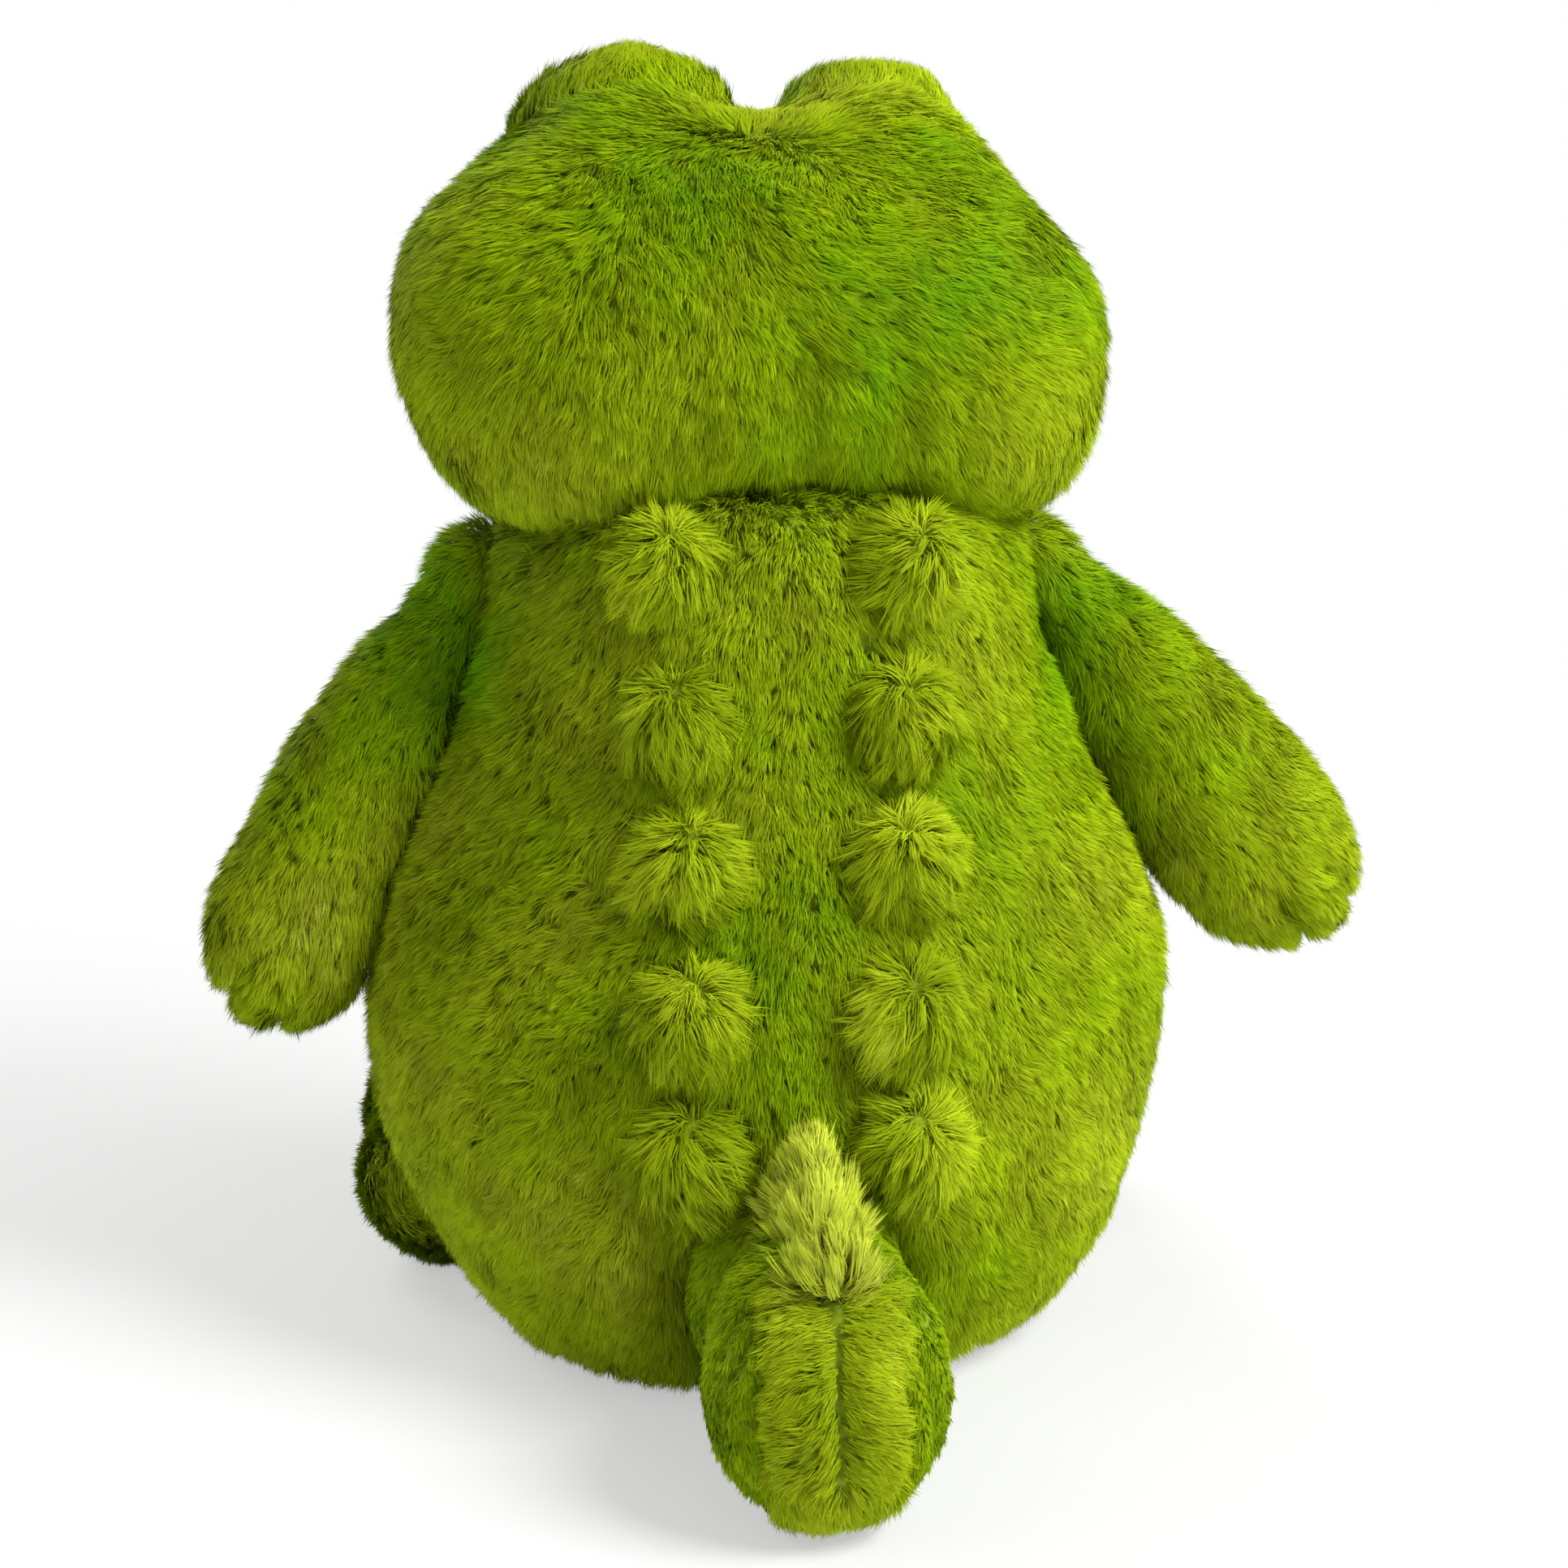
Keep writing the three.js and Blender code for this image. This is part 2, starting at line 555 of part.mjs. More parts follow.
// A ball at the origin, a waist, and a limb that swells to `radius` and has a rounded end.
function rootedProfile({ root, waist, radius, fullAt, straight, end }) {
  const angle = radians(waist);
  const [neckRadius, neckAt] = [root * Math.cos(angle), root * Math.sin(angle)];
  const path = new THREE.Path();
  path.moveTo(0, -root);
  path.absarc(0, 0, root, -Math.PI / 2, angle);
  path.bezierCurveTo(
    neckRadius - WAIST_PULL * Math.sin(angle), neckAt + WAIST_PULL * Math.cos(angle),
    radius, (neckAt + fullAt) / 2,
    radius, fullAt,
  );
  path.lineTo(radius, fullAt + straight);
  path.absellipse(0, fullAt + straight, radius, end, 0, Math.PI / 2);
  return path;
}

function rootedForm(limb, tallness, grow, segments) {
  const divisions = segments === COARSE ? LIMB_ARC.coarse : LIMB_ARC.fine;
  const profile = profileOf(rootedProfile(limb), divisions);
  const form = turned(offsetProfile(profile, grow), segments).rotateX(-Math.PI / 2);
  return toSolid(form.scale(1, 1, tallness));
}

const LEG = {
  root: HIP_RADIUS, waist: HIP_WAIST, radius: FOOT_RADIUS,
  fullAt: FOOT_AT, straight: 0, end: FOOT_END,
};
const TAIL = {
  root: TAIL_BALL, waist: TAIL_WAIST, radius: TAIL_RADIUS,
  fullAt: TAIL_FULL_AT, straight: TAIL_STRAIGHT, end: TAIL_END,
};

// In its own frame a leg runs along +Y from the hip, and the group turns it to the front.
function makeLeg(word, side) {
  const mouth = halfSpace(vector(0, -HIP_RADIUS * MOUTH_SHARE, 0), vector(0, -1, 0));
  const form = (grow, segments) => rootedForm(LEG, 1, grow, segments);
  const leg = sewn(form, COVER, MIDDLE, [mouth]);
  const tip = vector(0, endReach(GROOVE_SPREAD, FOOT_RADIUS, FOOT_AT, FOOT_END), 0);
  const toes = cut(leg.cover, grooves(tip, vector(1, 0, 0), vector(0, 0, 1)));
  const group = new THREE.Group();
  group.position.copy(hipCentre(side));
  group.rotation.z = Math.PI + side * radians(LEG_SPLAY);
  group.add(
    toMesh(`${word}_leg_cover`, toes, PLUSH),
    toMesh(`${word}_leg_stuffing`, leg.filling, FIBRE),
  );
  return group;
}

// The tail's own frame has its root at the origin and its end at +Y.
function makeTail() {
  const mouth = halfSpace(vector(0, -TAIL_BALL * MOUTH_SHARE, 0), vector(0, -1, 0));
  const form = (grow, segments) => rootedForm(TAIL, TAIL_TALLNESS, grow, segments);
  const tail = sewn(form, COVER, MIDDLE, [mouth]);
  const around = form(SEAM_GAP, MIDDLE);
  const group = new THREE.Group();
  group.position.copy(tailCentre);
  group.add(toMesh('tail_cover', tail.cover, PLUSH), toMesh('tail_stuffing', tail.filling, FIBRE));
  for (let i = 0; i < CREST_COUNT; i += 1) {
    const along = CREST_STARTS_AT + i * (2 * CREST_RADIUS + CREST_CLEAR);
    const point = vector(0, along, TAIL_RADIUS * TAIL_TALLNESS);
    const height = THREE.MathUtils.lerp(CREST_HEIGHT, CREST_END_HEIGHT, i / (CREST_COUNT - 1));
    const tuft = spikeAt(point, vector(0, 0, 1), CREST_RADIUS, height);
    group.add(toMesh(`tail_crest_${i + 1}`, tuft.subtract(around), PALE_PLUSH));
  }
  return group;
}

const crocodile = new THREE.Group();
crocodile.name = 'plush_crocodile';
crocodile.add(
  makeTrunk(),
  makeBackSpikes(),
  makeHead(),
  makeArm('left', 1, LEFT_ARM_ANGLE),
  makeArm('right', -1, RIGHT_ARM_ANGLE),
  makeLeg('left', 1),
  makeLeg('right', -1),
  makeTail(),
);

export default crocodile;
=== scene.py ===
"""Looks of a sitting plush crocodile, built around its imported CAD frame.

Metres, +Z up. The toy faces -Y.
"""

import json
import math

import bpy
import numpy as np
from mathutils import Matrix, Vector
from mathutils.bvhtree import BVHTree


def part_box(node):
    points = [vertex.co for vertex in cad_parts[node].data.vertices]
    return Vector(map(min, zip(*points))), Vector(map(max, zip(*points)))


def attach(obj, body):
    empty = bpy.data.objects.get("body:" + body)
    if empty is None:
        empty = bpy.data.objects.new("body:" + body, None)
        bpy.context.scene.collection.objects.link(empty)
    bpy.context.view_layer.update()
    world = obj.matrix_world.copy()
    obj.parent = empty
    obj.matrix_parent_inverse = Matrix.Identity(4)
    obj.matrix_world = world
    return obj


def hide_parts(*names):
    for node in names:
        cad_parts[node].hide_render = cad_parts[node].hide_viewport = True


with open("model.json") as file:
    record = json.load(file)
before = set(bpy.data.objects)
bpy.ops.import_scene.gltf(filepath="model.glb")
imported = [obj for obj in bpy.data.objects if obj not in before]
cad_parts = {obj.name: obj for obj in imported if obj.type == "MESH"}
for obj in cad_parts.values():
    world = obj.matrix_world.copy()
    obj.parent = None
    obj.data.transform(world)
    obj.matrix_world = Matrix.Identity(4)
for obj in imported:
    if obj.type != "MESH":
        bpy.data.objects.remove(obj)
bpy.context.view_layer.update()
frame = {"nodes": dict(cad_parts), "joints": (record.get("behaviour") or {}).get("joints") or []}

MM = 0.001
SEED = 7
TINY = 1e-12  # the least length that is divided by
SIDES = {"left": 1, "right": -1}  # with the sign of X there

# Camera: the photograph's angle, distance and framing
CAMERA_AZIMUTH = 173
CAMERA_ELEVATION = 15
CAMERA_DISTANCE = 1.3
CAMERA_TARGET = Vector((0, 0, 0.190))
IMAGE_SIDE = 1932
PIXELS_PER_METRE = 4080  # at the target
TARGET_PIXEL = (935, 891)
SENSOR = 36

# Strands of pile
ROOT_SINK = 0.6 * MM
FLOOR_CLEAR = 0.6 * MM
STRAND_WIDTH = 0.39 * MM  # at the bend, where a strand is widest
HALF_WIDTHS = (0.4, 0.62)  # share of that width to each side
STRAND_LENGTHS = (0.82, 1.03)  # share of the lock's length
STRAND_ROLL = 0.5  # radians
BEND_AT = 0.46  # share of a strand's length
STRAND_FACES = 2
STRAND_LOOPS = np.array([0, 2, 1, 1, 2, 3])
CORNER_STEPS = [0, 1, 1, 2]  # each corner's step on the line from root over bend to tip
CORNER_SIDES = np.array([0, -1, 1, 0])
MOST_FACES = 190_000  # triangles in one piece of pile

# Locks, in which strands stand together
LOCK_PULL = np.array([0.0, 0.15, 0.30])  # how far a strand has joined its lock at root, bend and tip
SPIKE_PULL = np.array([0.0, 0.24, 0.55])
BROAD_TURN = 0.42  # radians out of a lock's lie, in wide waves, small ones and by chance
FINE_TURN = 0.34
CHANCE_TURN = 0.2
FLECK_LIFT = 12  # degrees up, likewise
DAPPLE_LIFT = 4
CHANCE_LIFT = 6
MOST_RUFFLED = 12  # degrees that these add at most
STRAY_SHARE = np.array([0.0, 0.5, 1.0])  # from root to tip
STRAY_KINDS = [0.6, 1.6]  # most strands stray little and some stray far
STRAY_ODDS = [0.8, 0.2]

# Shades and hues of strands
PAINTED_ROOT_SHADES = np.array([0.72, 0.91, 1.07])  # painted shade from root to tip: dark at the root, where shade falls deep in the pile, lighter at the tip
SHADE_SPAN = 1.5  # the brightest shade in the palette
SHADE_CHANCE = 0.06
DAPPLE_SHADE = 0.12  # how much the shade varies in small and in larger flecks
FLECK_SHADE = 0.23
PAINTED_BORDER_SHADE = 0.12  # painted shade: how much darker the strands on a lock's border are, where shade falls between locks
LOCK_HUES = 0.05  # how much the hue varies from lock to lock, and within a lock
STRAND_HUES = 0.03
HUE_LIMITS = (0.02, 0.98)
PALETTE_LIMITS = (0.004, 0.996)
PALETTE_SHIFT = 0.006  # from a strand's middle to each edge
SOFTNESS = 1.4  # how far strands take the shading of the skin under them
ROUNDING = 0.35  # how far a lock's strands turn their shading away from its middle

# Colours, linear
GREEN = (0.125, 0.345, 0.0015)
OLIVE = (0.300, 0.435, 0.0025)
YELLOW = (0.430, 0.530, 0.012)
PALE = (0.570, 0.640, 0.060)
CREAM = (0.760, 0.740, 0.420)
WHITE = (1, 1, 1, 1)

# The map through which a strand finds its colour: across for hue, up for shade, which holds the painted
# shade at roots and on lock borders
PALETTE = "OFBake"

rng = np.random.default_rng(SEED)
scene = bpy.context.scene

azimuth, elevation = math.radians(CAMERA_AZIMUTH), math.radians(CAMERA_ELEVATION)
CAMERA_BACK = Vector((math.sin(azimuth) * math.cos(elevation), -math.cos(azimuth) * math.cos(elevation),
                      math.sin(elevation)))
CAMERA_RIGHT = Vector((0, 0, 1)).cross(CAMERA_BACK).normalized()
CAMERA_UP = CAMERA_BACK.cross(CAMERA_RIGHT)
CAMERA_PLACE = CAMERA_TARGET + CAMERA_BACK * CAMERA_DISTANCE


# Vectors and smooth noise

def unit(v):
    return v / np.maximum(np.linalg.norm(v, axis=-1, keepdims=True), TINY)


def vec(*xyz):
    return np.array(xyz, float)


def nearness(places, centre, radius):
    """1 at the centre, falling off softly with the distance from it."""
    return np.exp(-((places - np.array(centre)) ** 2).sum(1) / radius ** 2)


WAVE_COUNT = 9
WAVE_SPREAD = (0.6, 1.5)  # of the waves per length
WAVE_GAIN = 1.9  # brings the waves' mean to about -1 to 1


class Waves:
    """Smooth noise from -1 to 1: a sum of seeded plane waves of about one wavelength."""

    def __init__(self, wavelength, seed):
        source = np.random.default_rng(seed)
        ways = unit(source.normal(size=(WAVE_COUNT, 3)))
        self.ways = ways * (2 * math.pi / wavelength) * source.uniform(*WAVE_SPREAD, (WAVE_COUNT, 1))
        self.phases = source.uniform(0, 2 * math.pi, WAVE_COUNT)

    def __call__(self, points):
        return np.sin(points @ self.ways.T + self.phases).mean(1) * WAVE_GAIN


LUMPS = Waves(90 * MM, 11)
LOCKS = Waves(34 * MM, 12)
TWISTS = Waves(15 * MM, 13)
PATCHES = Waves(80 * MM, 14)
FLECKS = Waves(22 * MM, 15)
DAPPLES = Waves(9 * MM, 16)
CURLS = Waves(12 * MM, 17)


# Skins: smooth surfaces wrapped on the CAD covers

def placed(name, data):
    made = bpy.data.objects.new(name, data)
    scene.collection.objects.link(made)
    return made


class Skin:
    """A surface of faces that pile grows on."""

    def __init__(self, points, faces):
        self.points = points
        self.faces = faces
        fans = [(f[0], f[i], f[i + 1]) for f in faces for i in range(1, len(f) - 1)]
        self.triangles = np.array(fans)
        p = points[self.triangles]
        cross = np.cross(p[:, 1] - p[:, 0], p[:, 2] - p[:, 0])
        self.areas = np.linalg.norm(cross, axis=1) / 2
        normals = np.zeros_like(points)
        for corner in range(3):
            np.add.at(normals, self.triangles[:, corner], cross)
        self.normals = unit(normals)
        self.tree = BVHTree.FromPolygons(points.tolist(), faces)

    def sample(self, count):
        """Random places on the surface and the surface's direction there."""
        ends = np.cumsum(self.areas)
        picks = np.searchsorted(ends, rng.uniform(0, ends[-1], count))
        u, v = rng.uniform(size=(2, count, 1))
        over = u + v > 1
        u, v = np.where(over, 1 - u, u), np.where(over, 1 - v, v)
        corners = self.triangles[np.minimum(picks, len(self.areas) - 1)]
        shares = [1 - u - v, u, v]
        places = sum(s * self.points[corners[:, i]] for i, s in enumerate(shares))
        ways = sum(s * self.normals[corners[:, i]] for i, s in enumerate(shares))
        return places, unit(ways)

    def way_near(self, place):
        """The surface's direction where it is nearest to a place."""
        return np.array(self.tree.find_nearest(Vector(place))[1])

    def holds(self, places, depth):
        """Whether each place lies deeper than this inside the surface."""
        found = np.zeros(len(places), bool)
        for i, place in enumerate(places.tolist()):
            at, way, _, far = self.tree.find_nearest(place)
            found[i] = far > depth and (Vector(place) - at).dot(way) < 0
        return found

    def away(self, places):
        """How far each place is from the surface."""
        return np.array([self.tree.find_nearest(place)[3] for place in places.tolist()])

    def seen(self, pixel):
        """The place on the surface that the camera shows at a pixel, or None."""
        aside, rise = pixel[0] - TARGET_PIXEL[0], TARGET_PIXEL[1] - pixel[1]
        aim = CAMERA_TARGET + (CAMERA_RIGHT * aside + CAMERA_UP * rise) / PIXELS_PER_METRE
        return self.tree.ray_cast(CAMERA_PLACE, (aim - CAMERA_PLACE).normalized())[0]


def grid_faces(rings, sectors):
    """Faces of a closed grid: quads between the rings, and a cap at each end."""
    ring, sector = np.meshgrid(np.arange(rings - 1), np.arange(sectors), indexing="ij")
    after = (sector + 1) % sectors
    corners = [ring * sectors + sector, ring * sectors + after]
    corners += [(ring + 1) * sectors + after, (ring + 1) * sectors + sector]
    quads = np.stack(corners, -1).reshape(-1, 4)
    caps = [tuple(range(sectors - 1, -1, -1)), tuple(range((rings - 1) * sectors, rings * sectors))]
    return [tuple(q) for q in quads.tolist()] + caps


SKIN_INSET = 3.0 * MM  # the backing lies this far under the CAD cover
RAY_REACH = 0.4
NEAR_VERTICAL = 0.9
POLE_GAP = 0.04  # of a step, at both ends
GAP_ROUNDS = 60  # that fill the places which no ray met
LEAST_REACH = 2 * MM
SMOOTH = 3  # rounds


def wrap(node, a, b, rings=56, sectors=72, inset=SKIN_INSET, smooth=SMOOTH, shape=None):
    """The outer surface of a CAD node, met by rays that come in square to the line from a to b.

    shape takes the places found and the way out at each, and gives the places that they move to.
    """
    mesh = frame["nodes"][node].data
    tree = BVHTree.FromPolygons([v.co for v in mesh.vertices], [p.vertices[:] for p in mesh.polygons])
    low, high = (np.array(corner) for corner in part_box(node))
    length = np.linalg.norm(b - a)
    along = (b - a) / length
    side = unit(np.cross(along, vec(0, 0, 1) if abs(along[2]) < NEAR_VERTICAL else vec(0, 1, 0)))
    across = np.cross(along, side)
    quarter = math.pi / 4 * np.sort(high - low)[1]
    stops = np.linspace(0, 2 * quarter + length, rings)
    stops[0], stops[-1] = stops[1] * POLE_GAP, stops[-1] - stops[1] * POLE_GAP
    lift = np.where(stops < quarter, stops - quarter, np.maximum(stops - quarter - length, 0)) / quarter
    lift = lift * math.pi / 2
    base = a + np.clip(stops - quarter, 0, length)[:, None] * along
    turn = np.arange(sectors) * 2 * math.pi / sectors
    radial = np.cos(turn)[:, None] * side + np.sin(turn)[:, None] * across
    ways = np.cos(lift)[:, None, None] * radial + np.sin(lift)[:, None, None] * along
    far = np.full((rings, sectors), np.nan)
    for i in range(rings):
        for j in range(sectors):
            way = Vector(ways[i, j])
            hit = tree.ray_cast(Vector(base[i]) + way * RAY_REACH, -way, RAY_REACH)
            if hit[0] is not None:
                far[i, j] = RAY_REACH - hit[3]
    gaps = np.isnan(far)
    far[gaps] = np.nanmean(far)
    for step in range(GAP_ROUNDS + smooth):
        ends = np.concatenate([far[:1], far, far[-1:]])
        mean = (ends[:-2] + ends[2:] + np.roll(far, 1, 1) + np.roll(far, -1, 1)) / 4
        far = np.where(gaps, mean, far) if step < GAP_ROUNDS else (far + mean) / 2
    far[0], far[-1] = far[0].mean(), far[-1].mean()
    points = (base[:, None] + ways * np.maximum(far - inset, LEAST_REACH)[..., None]).reshape(-1, 3)
    if shape is not None:
        points = shape(points, ways.reshape(-1, 3))
    return Skin(points, grid_faces(rings, sectors))


def merged(skins, voxel=3 * MM, rounds=20):
    """One skin around several, with the creases between them filled softly."""
    starts = np.cumsum([0] + [len(skin.points) for skin in skins[:-1]])
    faces = [tuple(i + start for i in face)
             for skin, start in zip(skins, starts.tolist()) for face in skin.faces]
    mesh = bpy.data.meshes.new("merging")
    mesh.from_pydata(np.concatenate([skin.points for skin in skins]).tolist(), [], faces)
    made = placed("merging", mesh)
    remesh = made.modifiers.new("remesh", "REMESH")
    remesh.mode = "VOXEL"
    remesh.voxel_size = voxel
    done = bpy.data.meshes.new_from_object(made.evaluated_get(bpy.context.evaluated_depsgraph_get()))
    points = np.array([v.co for v in done.vertices], float)
    edges = np.array([e.vertices for e in done.edges])
    faces = [tuple(p.vertices) for p in done.polygons]
    bpy.data.objects.remove(made)
    bpy.data.meshes.remove(mesh)
    bpy.data.meshes.remove(done)
    known = np.bincount(edges.ravel(), minlength=len(points))[:, None]
    for _ in range(rounds):
        total = np.zeros_like(points)
        np.add.at(total, edges[:, 0], points[edges[:, 1]])
        np.add.at(total, edges[:, 1], points[edges[:, 0]])
        points = (points + total / known) / 2
    return Skin(points, faces)


LUMP_HEIGHT = 1.2 * MM
DENT_HEIGHT = 0.5 * MM


def swell(places, spots):
    """How far the skin moves out at each place, from spots given as (centre, radius, height)."""
    moved = LUMP_HEIGHT * LUMPS(places) + DENT_HEIGHT * LOCKS(places)
    for centre, radius, height in spots:
        moved += height * nearness(places, centre, radius)
    return moved


# Meshes and materials

def new_object(name, points, loops, starts, material, palette=None, normals=None):
    mesh = bpy.data.meshes.new(name)
    mesh.vertices.add(len(points))
    mesh.vertices.foreach_set("co", points.astype(np.float32).ravel())
    mesh.loops.add(len(loops))
    mesh.loops.foreach_set("vertex_index", loops.astype(np.int32))
    mesh.polygons.add(len(starts))
    mesh.polygons.foreach_set("loop_start", starts.astype(np.int32))
    mesh.polygons.foreach_set("use_smooth", np.ones(len(starts), bool))
    mesh.update(calc_edges=True)
    if palette is not None:
        layer = mesh.uv_layers.new(name=PALETTE)
        layer.uv.foreach_set("vector", palette[loops].astype(np.float32).ravel())
    if normals is not None:
        held = mesh.attributes.new("custom_normal", "FLOAT_VECTOR", "POINT")
        held.data.foreach_set("vector", normals.astype(np.float32).ravel())
    mesh.materials.append(material)
    return placed(name, mesh)


def skin_object(name, skin, material):
    loops = np.concatenate([np.array(face) for face in skin.faces])
    sizes = np.array([len(face) for face in skin.faces])
    return new_object(name, skin.points, loops, np.cumsum(sizes) - sizes, material)


def set_inputs(node, values):
    for name, value in values.items():
        node.inputs[name].default_value = value


def add(tree, kind, values=None):
    node = tree.nodes.new("ShaderNode" + kind)
    set_inputs(node, values or {})
    return node


def join(source, output, target, entry):
    source.id_data.links.new(source.outputs[output], target.inputs[entry])


def new_material(name, roughness, shine):
    material = bpy.data.materials.new(name)
    material.use_nodes = True
    shader = material.node_tree.nodes["Principled BSDF"]
    set_inputs(shader, {"Roughness": roughness, "Specular IOR Level": shine})
    return material, material.node_tree, shader


def pile_material(name, stops):
    """Dyed strands: hue and shade, with painted shade at the roots and on lock borders, come from each
    strand's place in the palette.
    """
    material, tree, shader = new_material(name, roughness=0.6, shine=0.03)
    set_inputs(shader, {"Sheen Weight": 0.06, "Sheen Roughness": 0.5, "Sheen Tint": (0.80, 0.90, 0.02, 1)})
    place = add(tree, "UVMap")
    place.uv_map = PALETTE
    split = add(tree, "SeparateXYZ")
    ramp = add(tree, "ValToRGB")
    for i, (position, colour) in enumerate(stops):
        known = ramp.color_ramp.elements
        stop = known[i] if i < 2 else known.new(position)
        stop.position = position
        stop.color = (*colour, 1)
    level = add(tree, "MapRange", {"To Max": SHADE_SPAN})
    mix = add(tree, "Mix")
    mix.data_type = "RGBA"
    mix.blend_type = "MULTIPLY"
    mix.inputs["Factor"].default_value = 1
    join(place, "UV", split, "Vector")
    join(split, "X", ramp, "Fac")
    join(split, "Y", level, "Value")
    join(ramp, "Color", mix, "A")
    join(level, "Result", mix, "B")
    join(mix, "Result", shader, "Base Color")
    return material


GRAIN_STOPS = (0.32, 0.68)
SMOOTHER = 0.12  # how far the grain takes the roughness down and up
ROUGHER = 0.1


def cloth_material(name, dark, light, grain, roughness=0.9, relief=0.3, shine=0.5):
    """Knitted, felted or moulded stuff: fine grain in colour, roughness and relief."""
    material, tree, shader = new_material(name, roughness, shine)
    place = add(tree, "TexCoord")
    noise = add(tree, "TexNoise", {"Scale": 1 / grain, "Detail": 6})
    ramp = add(tree, "ValToRGB")
    for stop, position, colour in zip(ramp.color_ramp.elements, GRAIN_STOPS, (dark, light)):
        stop.position = position
        stop.color = (*colour, 1)
    span = {"To Min": roughness - SMOOTHER, "To Max": min(roughness + ROUGHER, 1)}
    rough = add(tree, "MapRange", span)
    bump = add(tree, "Bump", {"Strength": relief, "Distance": grain})
    join(place, "Object", noise, "Vector")
    join(noise, "Fac", ramp, "Fac")
    join(ramp, "Color", shader, "Base Color")
    join(noise, "Fac", rough, "Value")
    join(rough, "Result", shader, "Roughness")
    join(noise, "Fac", bump, "Height")
    join(bump, "Normal", shader, "Normal")
    return material


GREEN_PILE = pile_material("green_pile", [(0, GREEN), (1, PALE), (0.4, OLIVE), (0.75, YELLOW)])
BELLY_PILE = pile_material("belly_pile", [(0, YELLOW), (1, CREAM), (0.5, PALE)])
BACK_CLOTH = cloth_material("plush_backing", (0.22, 0.33, 0.002), (0.30, 0.42, 0.003), grain=1.2 * MM)
PALE_CLOTH = cloth_material("pale_backing", (0.48, 0.53, 0.13), (0.60, 0.63, 0.20), grain=1.2 * MM)
FIBRE = cloth_material("polyester_fibre", (0.78, 0.77, 0.72), (0.93, 0.92, 0.89), grain=3 * MM,
                       roughness=0.95, relief=0.6)
POUCH = cloth_material("pouch_cloth", (0.58, 0.52, 0.40), (0.72, 0.66, 0.54), grain=0.8 * MM)
EYE = cloth_material("eye_plastic", (0.004, 0.004, 0.004), (0.010, 0.009, 0.008), grain=2 * MM,
                     roughness=0.16, relief=0.02, shine=0.3)
WASHER = cloth_material("washer_plastic", (0.76, 0.76, 0.74), (0.86, 0.86, 0.84), grain=1.5 * MM,
                        roughness=0.5, relief=0.1)


# Pile

def lock_lines(root, way, groom, length, lift, wander, vary, trim):
    """The way that each lock is combed, and its line from root over bend to tip."""
    count = len(root)
    comb, stand = groom(root, way)
    comb = unit(comb - (comb * way).sum(1, keepdims=True) * way)
    chance = rng.normal(0, CHANCE_TURN, count)
    turn = wander * (BROAD_TURN * LOCKS(root) + FINE_TURN * TWISTS(root) + chance)[:, None]
    comb = np.cos(turn) * comb + np.sin(turn) * np.cross(way, comb)
    ruffled = rng.normal(0, CHANCE_LIFT, count) + FLECK_LIFT * FLECKS(root) + DAPPLE_LIFT * DAPPLES(root)
    tilt = np.radians(stand + np.minimum(ruffled, MOST_RUFFLED))
    reach = length * rng.uniform(*vary, count)
    if trim is not None:
        reach *= trim(root)
    line = [np.zeros((count, 3))]
    for angle, share in zip(np.radians(lift), (BEND_AT, 1 - BEND_AT)):
        rise = (angle + tilt)[:, None]
        line.append(line[-1] + (share * reach)[:, None] * (np.cos(rise) * comb + np.sin(rise) * way))
    return comb, np.stack(line, 1)


def strand_corners(points, way, aside, border):
    """Four corners of each strand and the shading direction there, from its root, bend and tip."""
    run = unit(points[:, 2] - points[:, 0])
    flat = unit(np.cross(run, way))
    roll = rng.normal(0, STRAND_ROLL, (len(points), 1))
    edge = unit(np.cos(roll) * flat + np.sin(roll) * np.cross(run, flat))
    half = edge * rng.uniform(*HALF_WIDTHS, (len(points), 1)) * STRAND_WIDTH
    corners = np.stack([points[:, 0], points[:, 1] - half, points[:, 1] + half, points[:, 2]], 1)
    parts = [points[:, 1] - points[:, 0], run, points[:, 2] - points[:, 1]]
    faces = np.stack([unit(np.cross(edge, part)) for part in parts], 1)[:, CORNER_STEPS]
    soft = SOFTNESS * way + ROUNDING * border[:, None] * aside
    return corners, unit(faces + soft[:, None])


def strand_palette(root, member, border, hue, shades):
    """The palette place of each strand's four corners."""
    tint = np.clip(hue(root) + rng.normal(0, LOCK_HUES, len(root)), *HUE_LIMITS)[member]
    tint = tint + rng.normal(0, STRAND_HUES, len(member))
    bright = (1 + rng.normal(0, SHADE_CHANCE, len(root)))[member]
    bright = bright * (1 + rng.normal(0, SHADE_CHANCE, len(member)))
    mottled = 1 + DAPPLE_SHADE * DAPPLES(root) + FLECK_SHADE * FLECKS(root)
    # painted shade: strands on a lock's border darker, as if shaded between locks
    bright *= (1 - PAINTED_BORDER_SHADE * border ** 2) * mottled[member]
    across = tint[:, None] + PALETTE_SHIFT * CORNER_SIDES
    # painted shade: each corner's step from root to tip sets how dark it is
    up = (bright / SHADE_SPAN)[:, None] * shades[CORNER_STEPS]
    return np.clip(np.stack([across, up], -1), *PALETTE_LIMITS)


